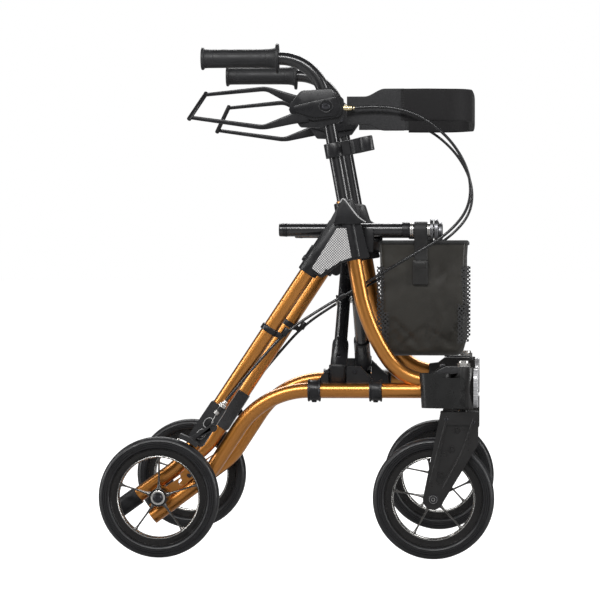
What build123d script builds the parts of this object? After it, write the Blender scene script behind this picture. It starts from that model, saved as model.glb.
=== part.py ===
"""Rollator walker: a cross-folding walking frame on four wheels, in millimetres.

+X is forward, +Z up and +Y to the user's left. The origin is on the floor, midway between the axles and
between the sides. Side profiles are drawn in "side" coordinates: millimetres forward of the rear axle, and
height above the floor.
"""

import os
from math import atan2, cos, degrees, hypot, radians, sin, tan

from build123d import *

os.makedirs("parts", exist_ok=True)

# Driving dimensions
WHEELBASE = 453.5
WHEEL_R = 100.0
TRACK_Y = 280.0  # wheel planes, either side of the middle
FRAME_Y = 243.0  # plane of each side frame's tubes and handle post
FOLD_Y = 208.0  # seat bars and lower cross hinges
TUBE_R = 12.5
TUBE_WALL = 1.4
POST_R = 10.9
POST_WALL = 1.5
SEAT_BAR_Z = 542.0
HINGE_Z = 302.0
STRUT_R = 11.0
STRUT_X = {"right": 293.0, "left": 318.0}  # by the side that holds the strut's lower end
POST_LEAN = 10.3  # degrees, top rearward
GRIP_Z = 826.0
CASTER_X = 503.0  # swivel axis; the front axle trails behind it
REAR_X = -WHEELBASE / 2

# The handle post's axis, as side coordinates of one point on it
POST_FOOT = (302.0, 599.0)
RUN_GAP = 0.05  # radial running clearance of pins and axles


def side_plane(y, x=0.0, z=0.0):
    """A vertical plane at width y seen from the right: local x is forward of the rear axle, local y is up."""
    return Plane(origin=(REAR_X + x, y, z), x_dir=(1, 0, 0), z_dir=(0, -1, 0))


def cross_plane(x, y=0.0, z=0.0):
    """A vertical plane across the walker at side coordinate x: local x is to the left, local y is up."""
    return Plane(origin=(REAR_X + x, y, z), x_dir=(0, 1, 0), z_dir=(1, 0, 0))


def on_post(height):
    """Side coordinates of the handle post's axis at a height."""
    return (POST_FOOT[0] + (POST_FOOT[1] - height) * tan(radians(POST_LEAN)), height)


def post_plane(height, y=-FRAME_Y):
    """A plane square to the handle post at a height, facing up along it."""
    x, z = on_post(height)
    lean = radians(POST_LEAN)
    return Plane(origin=(REAR_X + x, y, z), x_dir=(cos(lean), 0, sin(lean)), z_dir=(-sin(lean), 0, cos(lean)))


def leg_plane(point, slope, y=-FRAME_Y):
    """A plane square to a tube that climbs forward at a slope, facing up along it."""
    up = radians(slope)
    return Plane(
        origin=(REAR_X + point[0], y, point[1]), x_dir=(sin(up), 0, -cos(up)), z_dir=(cos(up), 0, sin(up))
    )


def write(piece, name):
    piece.label = name
    export_step(piece, f"parts/{name}.step")


def write_pair(piece, name):
    """Writes a right-hand piece, and its mirror image for the left side."""
    write(piece, f"right_{name}")
    write(mirror(piece, about=Plane.XZ), f"left_{name}")


def bent_tube(points, bends, outer, inner, plane):
    """A tube along straight runs joined by bends of the given radii."""
    with BuildPart() as piece:
        with BuildLine(plane) as path:
            FilletPolyline(*points, radius=bends)
        with BuildSketch(Plane(origin=path.line @ 0, z_dir=path.line % 0)):
            Circle(outer)
            if inner:
                Circle(inner, mode=Mode.SUBTRACT)
        sweep(path=path.line)
    return piece


def bar_outline(points, widths):
    """The outline of a flat bar that follows points and has a width at each."""
    left, right = [], []
    last = len(points) - 1
    for i, (x, z) in enumerate(points):
        before, after = points[max(i - 1, 0)], points[min(i + 1, last)]
        run = hypot(after[0] - before[0], after[1] - before[1])
        nx, nz = (before[1] - after[1]) / run, (after[0] - before[0]) / run
        half = widths[i] / 2
        left.append((x + nx * half, z + nz * half))
        right.append((x - nx * half, z - nz * half))
    return left + right[::-1]


# Frame tubes -------------------------------------------------------------------------------------------------
LEG_TOP = (284.0, 533.0)
LEG_BEND = (33.0, 152.0)
LEG_END = (-48.0, 93.4)
LEG_SLOPE = degrees(atan2(LEG_TOP[1] - LEG_BEND[1], LEG_TOP[0] - LEG_BEND[0]))
LEG_TAIL_SLOPE = degrees(atan2(LEG_BEND[1] - LEG_END[1], LEG_BEND[0] - LEG_END[0]))
LOWER_Z = 275.5
TUBE_FRONT = 452.0
HOUSING_REAR = 436.0
FRONT_FOOT_Z = 291.0

leg_path = [LEG_TOP, LEG_BEND, LEG_END]
rear_leg = bent_tube(leg_path, 120, TUBE_R, TUBE_R - TUBE_WALL, side_plane(-FRAME_Y))
leg_core = bent_tube(leg_path, 120, TUBE_R, 0, side_plane(-FRAME_Y))
write_pair(rear_leg.part, "rear_leg")

lower_path = [(TUBE_FRONT, LOWER_Z), (170.6, LOWER_Z), (77.4, 132.0), (-15.0, 63.9)]
lower_tube = bent_tube(lower_path, [140, 120], TUBE_R, TUBE_R - TUBE_WALL, side_plane(-FRAME_Y))
lower_core = bent_tube(lower_path, [140, 120], TUBE_R, 0, side_plane(-FRAME_Y))
write_pair(lower_tube.part, "lower_tube")

SLEEVE_TOP_Z = 590.0
front_path = [on_post(SLEEVE_TOP_Z), (341.2, 383.3), (401.8, FRONT_FOOT_Z), (TUBE_FRONT, FRONT_FOOT_Z)]
front_raw = bent_tube(front_path, [300, 85], TUBE_R, TUBE_R - TUBE_WALL, side_plane(-FRAME_Y))
front_core = bent_tube(front_path, [300, 85], TUBE_R, 0, side_plane(-FRAME_Y))
with BuildPart() as front_tube:
    add(front_raw.part)
    # The foot is coped to sit on the lower tube, where the two are welded.
    with BuildSketch(cross_plane(TUBE_FRONT, -FRAME_Y, LOWER_Z)):
        Circle(TUBE_R)
    extrude(amount=-120, mode=Mode.SUBTRACT)
write_pair(front_tube.part, "front_tube")

# Rear axle plate, welded between the leg and the lower tube -------------------------------------------------
AXLE_BOSS_R = 17.0
with BuildPart() as axle_plate:
    with BuildSketch(side_plane(-FRAME_Y + 5)):
        Polygon((-20, 84), (12, 118), (62, 150), (78, 150), (60, 120), (14, 87), (-8, 68), align=None)
    extrude(amount=10)
    with BuildSketch(side_plane(-FRAME_Y + 8, 0, WHEEL_R)):
        Circle(AXLE_BOSS_R)
    extrude(amount=21)
    # Lightening hole ahead of the axle
    with BuildSketch(side_plane(-FRAME_Y + 20)):
        with Locations((40, 127)):
            SlotOverall(26, 10, rotation=36)
    extrude(amount=60, mode=Mode.SUBTRACT)
    add(leg_core.part, mode=Mode.SUBTRACT)
    add(lower_core.part, mode=Mode.SUBTRACT)
    with BuildSketch(side_plane(-FRAME_Y + 20, 0, WHEEL_R)):
        Circle(5.0)
    extrude(amount=60, mode=Mode.SUBTRACT)
write_pair(axle_plate.part, "axle_plate")

# Tipping-aid cap on the leg's tail ---------------------------------------------------------------------------
CAP_R = 15.0
CAP_LEN = 49.0
with BuildPart() as tip_cap:
    with BuildSketch(leg_plane(LEG_END, LEG_TAIL_SLOPE)):
        Circle(CAP_R)
    extrude(amount=-CAP_LEN)
    fillet(tip_cap.faces().sort_by(Axis.X)[0].edges(), 4)
    with BuildSketch(leg_plane(LEG_END, LEG_TAIL_SLOPE)):
        Circle(CAP_R)
        Circle(TUBE_R, mode=Mode.SUBTRACT)
    extrude(amount=12)
write_pair(tip_cap.part, "tip_cap")

# Side joint: one moulding that clasps the leg and the front tube --------------------------------------------
JOINT_OUT = 260.0  # outer face
JOINT_IN = 227.0  # inner face
JOINT_OUTLINE = [
    (302, 597), (320, 594), (330, 560), (347, 496), (322, 492), (300, 487), (268, 462), (236, 478), (250, 500),
]
PANEL_OUTLINE = [(293, 545), (313, 545), (322, 497), (299, 489), (266, 467), (251, 478)]
LEG_COLLAR_R = 16.0
POST_COLLAR_R = 16.5
CRADLE_X = (334.5, 352.0)

with BuildPart() as side_joint:
    with BuildSketch(side_plane(-JOINT_IN)):
        Polygon(*JOINT_OUTLINE, align=None)
    extrude(amount=JOINT_OUT - JOINT_IN)
    fillet(side_joint.edges().filter_by(Axis.Y), 3)
    # Collars round the leg and round the sleeve of the handle post
    with BuildSketch(leg_plane((242.5, 470.0), LEG_SLOPE)):
        Circle(LEG_COLLAR_R)
    extrude(amount=84)
    with BuildSketch(post_plane(495)):
        Circle(POST_COLLAR_R)
    extrude(amount=104)
    # Cradle that the seat bar drops into when the walker is open
    with BuildSketch(cross_plane(CRADLE_X[0])):
        with BuildLine():
            Polyline((-JOINT_IN, 505), (-JOINT_IN, 545), (-222, 545), (-222, 530), (-194, 530), (-194, 524))
            Line((-194, 524), (-JOINT_IN, 505))
        make_face()
    extrude(amount=CRADLE_X[1] - CRADLE_X[0])
    with BuildSketch(cross_plane(CRADLE_X[0] - 1)):
        with Locations((-FOLD_Y, SEAT_BAR_Z)):
            Circle(STRUT_R + 0.4)
    extrude(amount=CRADLE_X[1] - CRADLE_X[0] + 2, mode=Mode.SUBTRACT)
    # Recess for the reflective panel
    with BuildSketch(side_plane(-JOINT_OUT + 1.5)):
        Polygon(*PANEL_OUTLINE, align=None)
    extrude(amount=4, mode=Mode.SUBTRACT)
    # Bores for the two tubes, and the post's mouth
    add(leg_core.part, mode=Mode.SUBTRACT)
    add(front_core.part, mode=Mode.SUBTRACT)
    with BuildSketch(post_plane(585)):
        Circle(POST_R + 0.2)
    extrude(amount=40, mode=Mode.SUBTRACT)
write_pair(side_joint.part, "side_joint")

with BuildPart() as side_panel:
    with BuildSketch(side_plane(-JOINT_OUT + 1.5)):
        Polygon(*PANEL_OUTLINE, align=None)
        offset(amount=-0.6, kind=Kind.INTERSECTION)
    extrude(amount=1.2)
    for collar, start in ((leg_plane((242.5, 470.0), LEG_SLOPE), LEG_COLLAR_R), (post_plane(495), POST_COLLAR_R)):
        with BuildSketch(collar.offset(-10)):
            Circle(start)
        extrude(amount=130, mode=Mode.SUBTRACT)
write_pair(side_panel.part, "side_panel")

# Lower hinge bracket, clamped on the lower tube --------------------------------------------------------------
CLAMP_R = 17.0
CLAMPS_X = (245.0, 347.0)
CLAMP_LEN = 20.0
PIN_R = 3.0
BRACKET_OUT = FRAME_Y - TUBE_R
BRACKET_IN = 194.0
BARREL_R = 14.0
SLOT_HALF = BARREL_R + 1.2
SLOT_DEPTH = 60.0
HINGE_OUTLINE = [(249, 262), (249, 284), (262, 294), (280, 314), (330, 314), (350, 294), (363, 284), (363, 262)]


def hinge_bracket(pivot_x):
    """Two tube clamps joined by a bridge, whose ears hold the cross strut's pin."""
    with BuildPart() as piece:
        with BuildSketch(side_plane(-BRACKET_IN)):
            Polygon(*HINGE_OUTLINE, align=None)
        extrude(amount=BRACKET_OUT - BRACKET_IN)
        for start in CLAMPS_X:
            with BuildSketch(cross_plane(start, -FRAME_Y, LOWER_Z)):
                Circle(CLAMP_R)
            extrude(amount=CLAMP_LEN)
        add(lower_core.part, mode=Mode.SUBTRACT)
        # Slot that the strut's barrel turns in, open upwards and inwards
        with BuildSketch(side_plane(-BRACKET_IN + 5)):
            with Locations((pivot_x, HINGE_Z - BARREL_R - 2 + SLOT_DEPTH / 2)):
                Rectangle(2 * SLOT_HALF, SLOT_DEPTH)
        extrude(amount=60, mode=Mode.SUBTRACT)
        with BuildSketch(cross_plane(pivot_x - SLOT_HALF - 9, -FOLD_Y, HINGE_Z)):
            Circle(PIN_R)
        extrude(amount=2 * SLOT_HALF + 18, mode=Mode.SUBTRACT)
    return piece


def hinge_pin(pivot_x):
    with BuildPart() as piece:
        with BuildSketch(cross_plane(pivot_x - SLOT_HALF - 9, -FOLD_Y, HINGE_Z)):
            Circle(PIN_R)
        extrude(amount=2 * SLOT_HALF + 18)
    return piece


for side, pivot_x in STRUT_X.items():
    assembly = Compound(children=[hinge_bracket(pivot_x).part, hinge_pin(pivot_x).part])
    placed = assembly if side == "right" else mirror(assembly, about=Plane.XZ)
    write(placed, f"{side}_hinge_bracket")

# Cross struts and the seat bars ------------------------------------------------------------------------------
SPAN = 2 * FOLD_Y
RISE = SEAT_BAR_Z - HINGE_Z
STRUT_LEN = hypot(SPAN, RISE)
STRUT_ANGLE = degrees(atan2(RISE, SPAN))
BAR_WALL = 1.6  # of the struts and the seat bars
FOOT_LEN = 90.0
COLLAR_R = 16.0
COLLAR_LEN = 25.0
CENTRE_PIN_R = 5.0
CENTRE_BUSH_R = 8.5
SEAT_BAR_ENDS = (195.0, 460.0)
SEAT_BAR_PLUG = 14.0


def strut(x, centre_bore):
    """A strut from its lower barrel on the left to a collar round the right-hand seat bar."""
    lean = radians(STRUT_ANGLE)
    foot = Plane(origin=(REAR_X + x, FOLD_Y, HINGE_Z), x_dir=(1, 0, 0), z_dir=(0, -cos(lean), sin(lean)))
    with BuildPart() as piece:
        with BuildSketch(foot):
            Circle(STRUT_R)
        extrude(amount=STRUT_LEN)
        with BuildSketch(foot.offset(FOOT_LEN + 4)):
            Circle(STRUT_R - BAR_WALL)
        extrude(amount=STRUT_LEN - FOOT_LEN - 4, mode=Mode.SUBTRACT)
        # Bush that the centre pin passes through
        with BuildSketch(cross_plane(x - STRUT_R + BAR_WALL, 0, (SEAT_BAR_Z + HINGE_Z) / 2)):
            Circle(CENTRE_BUSH_R)
        extrude(amount=2 * (STRUT_R - BAR_WALL))
        # Moulded foot and barrel
        with BuildSketch(foot):
            Circle(BARREL_R)
        extrude(amount=FOOT_LEN)
        with BuildSketch(cross_plane(x - BARREL_R, FOLD_Y, HINGE_Z)):
            Circle(BARREL_R)
        extrude(amount=2 * BARREL_R)
        # Collar round the seat bar
        with BuildSketch(cross_plane(x - COLLAR_LEN / 2, -FOLD_Y, SEAT_BAR_Z)):
            Circle(COLLAR_R)
        extrude(amount=COLLAR_LEN)
        # Bores for the seat bar, the lower pin and the centre pin
        for y, z, bore in (
            (-FOLD_Y, SEAT_BAR_Z, STRUT_R + RUN_GAP),
            (FOLD_Y, HINGE_Z, PIN_R + RUN_GAP),
            (0, (SEAT_BAR_Z + HINGE_Z) / 2, centre_bore),
        ):
            with BuildSketch(cross_plane(x - 40, y, z)):
                Circle(bore)
            extrude(amount=80, mode=Mode.SUBTRACT)
    return piece


write(strut(STRUT_X["left"], CENTRE_PIN_R + RUN_GAP).part, "left_cross_strut")
write(mirror(strut(STRUT_X["right"], CENTRE_PIN_R).part, about=Plane.XZ), "right_cross_strut")

with BuildPart() as centre_pin:
    with BuildSketch(cross_plane(STRUT_X["right"] - STRUT_R - 3, 0, (SEAT_BAR_Z + HINGE_Z) / 2)):
        Circle(9)
    extrude(amount=3)
    with BuildSketch(cross_plane(STRUT_X["right"] - STRUT_R, 0, (SEAT_BAR_Z + HINGE_Z) / 2)):
        Circle(CENTRE_PIN_R)
    extrude(amount=STRUT_X["left"] - STRUT_X["right"] + 2 * STRUT_R + 1)
    with BuildSketch(cross_plane(STRUT_X["left"] + STRUT_R + 1, 0, (SEAT_BAR_Z + HINGE_Z) / 2)):
        Circle(9)
    extrude(amount=4)
write(centre_pin.part, "centre_pin")

with BuildPart() as seat_bar:
    with BuildSketch(cross_plane(SEAT_BAR_ENDS[0], -FOLD_Y, SEAT_BAR_Z)):
        Circle(STRUT_R)
    extrude(amount=SEAT_BAR_ENDS[1] - SEAT_BAR_ENDS[0])
    fillet(seat_bar.faces().sort_by(Axis.X)[0].edges(), 2)
    # Twin collars that keep the bag's strap on the bar's front end
    for start, length in ((446.5, 5.0), (453.5, 6.0)):
        with BuildSketch(cross_plane(start, -FOLD_Y, SEAT_BAR_Z)):
            Circle(17.5)
        extrude(amount=length)
    with BuildSketch(cross_plane(SEAT_BAR_ENDS[0] + SEAT_BAR_PLUG, -FOLD_Y, SEAT_BAR_Z)):
        Circle(STRUT_R - BAR_WALL)
    extrude(amount=SEAT_BAR_ENDS[1] - SEAT_BAR_ENDS[0], mode=Mode.SUBTRACT)
write_pair(seat_bar.part, "seat_bar")

# Handle post, grip and brake lever ---------------------------------------------------------------------------
GRIP_ENDS = (67.0, 196.0)
post_path = [on_post(450), on_post(GRIP_Z), (GRIP_ENDS[0] + 5, GRIP_Z)]
post = bent_tube(post_path, 75, POST_R, POST_R - POST_WALL, side_plane(-FRAME_Y))
post_core = bent_tube(post_path, 75, POST_R, 0, side_plane(-FRAME_Y))
write_pair(post.part, "handle_post")

with BuildPart() as grip:
    with BuildSketch(cross_plane(GRIP_ENDS[0], -FRAME_Y, GRIP_Z)):
        Circle(15.8)
    extrude(amount=GRIP_ENDS[1] - GRIP_ENDS[0])
    for start, length, radius, drop in ((GRIP_ENDS[0], 4.0, 18.8, 0), (GRIP_ENDS[1] - 5, 5.0, 25.0, -1.5)):
        with BuildSketch(cross_plane(start, -FRAME_Y, GRIP_Z + drop)):
            Circle(radius)
        extrude(amount=length)
    with BuildSketch(cross_plane(GRIP_ENDS[0] + 5, -FRAME_Y, GRIP_Z)):
        Circle(POST_R)
    extrude(amount=200, mode=Mode.SUBTRACT)
write_pair(grip.part, "grip")

PIVOT = on_post(745.5)
CORE_OUT = 256.6
CORE_IN = 229.4
ANCHOR_START = 296.0
ANCHOR_END = 320.0
ANCHOR_R = 4.0
ANCHOR_Y = CORE_OUT - ANCHOR_R
ANCHOR_Z = 743.0
HOUSING_OUTLINE = [(213, 741), (236, 770), (282, 777), (303, 759), (307, 736), (295, 719), (262, 711), (232, 712)]
with BuildPart() as brake_housing:
    with BuildSketch(side_plane(-CORE_IN)):
        Polygon(*HOUSING_OUTLINE, align=None)
    extrude(amount=CORE_OUT - CORE_IN)
    fillet(brake_housing.edges().filter_by(Axis.Y), 3)
    # Pivot bosses, flush with the lever's cheeks
    with BuildSketch(side_plane(-CORE_IN + 5.2, *PIVOT)):
        Circle(5.5)
    extrude(amount=CORE_OUT - CORE_IN + 10.4)
    add(post_core.part, mode=Mode.SUBTRACT)
    # Anchor for the cable's outer casing
    with BuildSketch(cross_plane(ANCHOR_START, -ANCHOR_Y, ANCHOR_Z)):
        Circle(ANCHOR_R)
    extrude(amount=ANCHOR_END - ANCHOR_START)
write_pair(brake_housing.part, "brake_housing")

CHEEK = 4.4
CHEEK_GAP = 0.4
CHEEK_OUTLINE = [(215, 742), (282, 763), (303, 757), (305, 740), (297, 723), (272, 719), (216, 726)]
UPPER_ARM = [(228, 752), (174, 777), (72, 767)]
LOWER_ARM = [(228, 729), (172, 711), (50, 728)]
with BuildPart() as brake_lever:
    for outer_face, arm, widths in (
        (CORE_OUT + CHEEK_GAP, LOWER_ARM, (16, 7, 7)),
        (CORE_IN - CHEEK_GAP - CHEEK, UPPER_ARM, (16, 7, 6)),
    ):
        with BuildSketch(side_plane(-outer_face)):
            Polygon(*CHEEK_OUTLINE, align=None)
        extrude(amount=CHEEK)
        with BuildSketch(side_plane(-outer_face)):
            Polygon(*bar_outline(arm, widths), align=None)
        extrude(amount=CHEEK)
    ends = (
        Vector(REAR_X + LOWER_ARM[-1][0], -CORE_OUT - CHEEK_GAP - CHEEK / 2, LOWER_ARM[-1][1]),
        Vector(REAR_X + UPPER_ARM[-1][0], -CORE_IN + CHEEK_GAP + CHEEK / 2, UPPER_ARM[-1][1]),
    )
    reach = ends[1] - ends[0]
    with BuildSketch(Plane(origin=ends[0] - reach * 0.07, z_dir=reach)):
        Circle(4)
    extrude(amount=reach.length * 1.14)
    with BuildSketch(side_plane(-CORE_IN + 20, *PIVOT)):
        Circle(5.5 + RUN_GAP)
    extrude(amount=80, mode=Mode.SUBTRACT)
write_pair(brake_lever.part, "brake_lever")

# Cane clip on the right-hand post ----------------------------------------------------------------------------
CLIP_HEIGHT = 662.0
CLIP_R = 10.0
CLIP_AT = (56.0, -24.0)  # the jaw's centre, ahead of the post's axis and outboard of it
with BuildPart() as cane_clip:
    with BuildSketch(post_plane(CLIP_HEIGHT)):
        Circle(16)
        Polygon((0, -8.5), (0, 8.5), (40, 8.5), (60, -8), (60, -20), (46, -30), (34, -14), (26, -8.5), align=None)
        with Locations(CLIP_AT):
            Circle(CLIP_R + 3)
            Circle(CLIP_R, mode=Mode.SUBTRACT)
        with Locations((CLIP_AT[0] + 12, CLIP_AT[1])):
            Rectangle(14, 15, mode=Mode.SUBTRACT)
        Circle(POST_R, mode=Mode.SUBTRACT)
    extrude(amount=24)
write(cane_clip.part, "cane_clip")

# Caster housing, cup, reflector and fork ---------------------------------------------------------------------
STEM_R = 8.0
BOSS_R = 18.0
with BuildPart() as caster_housing:
    with BuildSketch(side_plane(-FRAME_Y + 15)):
        Polygon((436, 256), (436, 304), (452, 306), (464, 315), (510, 315), (510, 250), (470, 250), align=None)
    extrude(amount=30)
    with BuildSketch(Plane(origin=(REAR_X + CASTER_X, -TRACK_Y, 247))):
        Circle(BOSS_R)
    extrude(amount=68)
    with BuildSketch(Plane(origin=(REAR_X + CASTER_X, -TRACK_Y, 250))):
        with Locations((1, 12)):
            Rectangle(34, 26)
    extrude(amount=60)
    add(lower_core.part, mode=Mode.SUBTRACT)
    add(front_core.part, mode=Mode.SUBTRACT)
    with BuildSketch(Plane(origin=(REAR_X + CASTER_X, -TRACK_Y, 240))):
        Circle(STEM_R + RUN_GAP)
    extrude(amount=90, mode=Mode.SUBTRACT)
    # Flat face for the front reflector
    with BuildSketch(side_plane(-TRACK_Y + 40)):
        with Locations((CASTER_X + 23, 280)):
            Rectangle(14, 90)
    extrude(amount=80, mode=Mode.SUBTRACT)
write_pair(caster_housing.part, "caster_housing")

with BuildPart() as front_reflector:
    with BuildSketch(cross_plane(CASTER_X + 16.2, -TRACK_Y, 281)):
        Ellipse(17, 32)
    extrude(amount=8)
    fillet(front_reflector.faces().sort_by(Axis.X)[-1].edges(), 3)
write_pair(front_reflector.part, "front_reflector")

CUP_TOP = 306.0
CUP_FLOOR = 249.0
CUP_WALL = 2.4
with BuildPart() as cane_cup:
    with BuildSketch(Plane(origin=(REAR_X + 457, -283, CUP_FLOOR))):
        RectangleRounded(46, 38, 17)
    with BuildSketch(Plane(origin=(REAR_X + 457, -283, CUP_TOP))):
        RectangleRounded(54, 46, 20)
    loft()
    with BuildSketch(Plane(origin=(REAR_X + 457, -283, CUP_FLOOR + 3))):
        RectangleRounded(46 - 2 * CUP_WALL, 38 - 2 * CUP_WALL, 17 - CUP_WALL)
    with BuildSketch(Plane(origin=(REAR_X + 457, -283, CUP_TOP + 1))):
        RectangleRounded(54 - 2 * CUP_WALL, 46 - 2 * CUP_WALL, 20 - CUP_WALL)
    loft(mode=Mode.SUBTRACT)
    # Flange that reaches forward round the outside of the caster boss
    with BuildSketch(Plane(origin=(REAR_X + 457, -306, CUP_FLOOR))):
        with BuildLine():
            Polyline((0, 0), (40, 0), (48, 4), (40, 4.4), (0, 4.4), close=True)
        make_face()
    extrude(amount=50)
write(cane_cup.part, "cane_cup")

FORK_OUT = TRACK_Y + 26.0
FORK_IN = TRACK_Y - 26.0
FORK_SHEET = 6.5
CROWN_TOP = 243.0
CROWN_BASE = 210.0
STEM_LEN = 76.0
FRONT_AXLE = (WHEELBASE, WHEEL_R)
with BuildPart() as fork:
    for outer_face in (FORK_OUT - FORK_SHEET, FORK_IN):
        with BuildSketch(side_plane(-outer_face)):
            Polygon((465.5, 243), (437, 104), (469, 94), (527, 190), (527, 243), align=None)
            with Locations(FRONT_AXLE):
                Circle(17)
        extrude(amount=FORK_SHEET)
    with BuildSketch(Plane(origin=(REAR_X + 496, -TRACK_Y, CROWN_BASE))):
        Rectangle(62, 2 * (FORK_OUT - TRACK_Y))
    extrude(amount=CROWN_TOP - CROWN_BASE)
    with BuildSketch(Plane(origin=(REAR_X + CASTER_X, -TRACK_Y, CROWN_TOP))):
        Circle(STEM_R)
    extrude(amount=STEM_LEN)
    # Recess in the outer leg between its two ribs
    with BuildSketch(side_plane(-FORK_OUT + 2.5)):
        Polygon((474, 222), (458, 130), (466, 122), (512, 200), (512, 222), align=None)
        fillet(vertices(), 3)
    extrude(amount=20, mode=Mode.SUBTRACT)
    with BuildSketch(side_plane(-TRACK_Y + 60, *FRONT_AXLE)):
        Circle(5)
    extrude(amount=120, mode=Mode.SUBTRACT)
write_pair(fork.part, "fork")

# Wheels ------------------------------------------------------------------------------------------------------
TYRE_W = 30.0
TYRE_SEAT_R = 81.0
RIM_R = 66.0
RIM_W = 22.0
HUB_R = 15.5
BEARING_R = 11.0
AXLE_R = 4.9
SPOKE_START = {"rear": 90.0, "front": 25.0}


def tyre(x):
    with BuildPart() as piece:
        with BuildSketch(cross_plane(x, -TRACK_Y, WHEEL_R)):
            with BuildLine():
                Polyline((-RIM_W / 2, TYRE_SEAT_R), (-TYRE_W / 2, 86), (-TYRE_W / 2, 91))
                ThreePointArc((-TYRE_W / 2, 91), (-11.2, 97.8), (-5, WHEEL_R))
                Line((-5, WHEEL_R), (5, WHEEL_R))
                ThreePointArc((5, WHEEL_R), (11.2, 97.8), (TYRE_W / 2, 91))
                Polyline((TYRE_W / 2, 91), (TYRE_W / 2, 86), (RIM_W / 2, TYRE_SEAT_R), (-RIM_W / 2, TYRE_SEAT_R))
            make_face()
        revolve(axis=Axis((REAR_X + x, 0, WHEEL_R), (0, 1, 0)))
    return piece


def rim(x, first_spoke):
    with BuildPart() as piece:
        with BuildSketch(side_plane(-TRACK_Y + RIM_W / 2, x, WHEEL_R)):
            Circle(TYRE_SEAT_R)
            Circle(RIM_R, mode=Mode.SUBTRACT)
        extrude(amount=RIM_W)
        with BuildSketch(side_plane(-TRACK_Y + 4, x, WHEEL_R)):
            with PolarLocations((HUB_R + RIM_R) / 2 - 1, 5, start_angle=first_spoke):
                Rectangle(RIM_R - HUB_R + 6, 4.5)
        extrude(amount=8)
        with BuildSketch(side_plane(-TRACK_Y + 17, x, WHEEL_R)):
            Circle(HUB_R)
            Circle(BEARING_R, mode=Mode.SUBTRACT)
        extrude(amount=34)
    return piece


def bearings(x, outer):
    """Two sealed bearings, one at each end of the hub."""
    with BuildPart() as piece:
        for start in (17, -9):
            with BuildSketch(side_plane(-TRACK_Y + start, x, WHEEL_R)):
                Circle(outer)
                Circle(AXLE_R + RUN_GAP, mode=Mode.SUBTRACT)
            extrude(amount=8)
    return piece


def axle(x, inner, outer, head):
    """An axle bolt between two widths, with its head outside."""
    with BuildPart() as piece:
        with BuildSketch(side_plane(-inner, x, WHEEL_R)):
            Circle(AXLE_R)
        extrude(amount=outer - inner)
        with BuildSketch(side_plane(-outer, x, WHEEL_R)):
            Circle(head)
            RegularPolygon(2.6, 6, mode=Mode.SUBTRACT)
        extrude(amount=3)
    return piece


for place, x in (("rear", 0.0), ("front", WHEELBASE)):
    write_pair(tyre(x).part, f"{place}_tyre")
    write_pair(rim(x, SPOKE_START[place]).part, f"{place}_rim")
write_pair(bearings(0.0, BEARING_R).part, "rear_bearings")
write_pair(axle(0.0, 236.0, 299.0, 6.5).part, "rear_axle")

# The fork's own fasteners: axle bolt, the bearings pressed on it, and the nut on the stem
with BuildPart() as stem_nut:
    with BuildSketch(Plane(origin=(REAR_X + CASTER_X, -TRACK_Y, 315.4))):
        RegularPolygon(11, 6)
    extrude(amount=7)
    with BuildSketch(Plane(origin=(REAR_X + CASTER_X, -TRACK_Y, 322.4))):
        Circle(8.5)
    extrude(amount=4)
    with BuildSketch(Plane(origin=(REAR_X + CASTER_X, -TRACK_Y, 310))):
        Circle(STEM_R)
    extrude(amount=CROWN_TOP + STEM_LEN - 310, mode=Mode.SUBTRACT)
front_axle = axle(WHEELBASE, 253.0, FORK_OUT, 6.5)
front_bearings = bearings(WHEELBASE, BEARING_R - RUN_GAP)
hardware = Compound(children=[front_axle.part, front_bearings.part, stem_nut.part])
write_pair(hardware, "caster_hardware")

# Rear brakes: a carrier clamped on the leg, and a shoe that swings on to the tyre --------------------------
SHOE_PIVOT = (88.0, 214.0)
SHOE_PIN_R = 3.5
CARRIER_OUT = FRAME_Y + TUBE_R + 4
CARRIER_LINE = [(56, 188), (98, 252)]
GUIDE_FOOT = (96.0, 241.0)
GUIDE_DIR = (0.62, 0, 0.785)
GUIDE_LEN = 16.0
CABLE_OUT = CARRIER_OUT
with BuildPart() as brake_carrier:
    with BuildSketch(side_plane(-FRAME_Y + 13.5)):
        Polygon(*bar_outline(CARRIER_LINE, (30, 28)), align=None)
    extrude(amount=CARRIER_OUT - FRAME_Y + 13.5)
    fillet(brake_carrier.edges().filter_by(Axis.Y), 4)
    add(leg_core.part, mode=Mode.SUBTRACT)
    # Guide that the cable's casing ends in
    with BuildSketch(Plane(origin=(REAR_X + GUIDE_FOOT[0], -CABLE_OUT, GUIDE_FOOT[1]), z_dir=GUIDE_DIR)):
        Circle(4.2)
    extrude(amount=GUIDE_LEN)
    # Pin that the shoe's arm swings on
    with BuildSketch(side_plane(-CARRIER_OUT, *SHOE_PIVOT)):
        Circle(SHOE_PIN_R)
    extrude(amount=8)
write_pair(brake_carrier.part, "brake_carrier")

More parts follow.
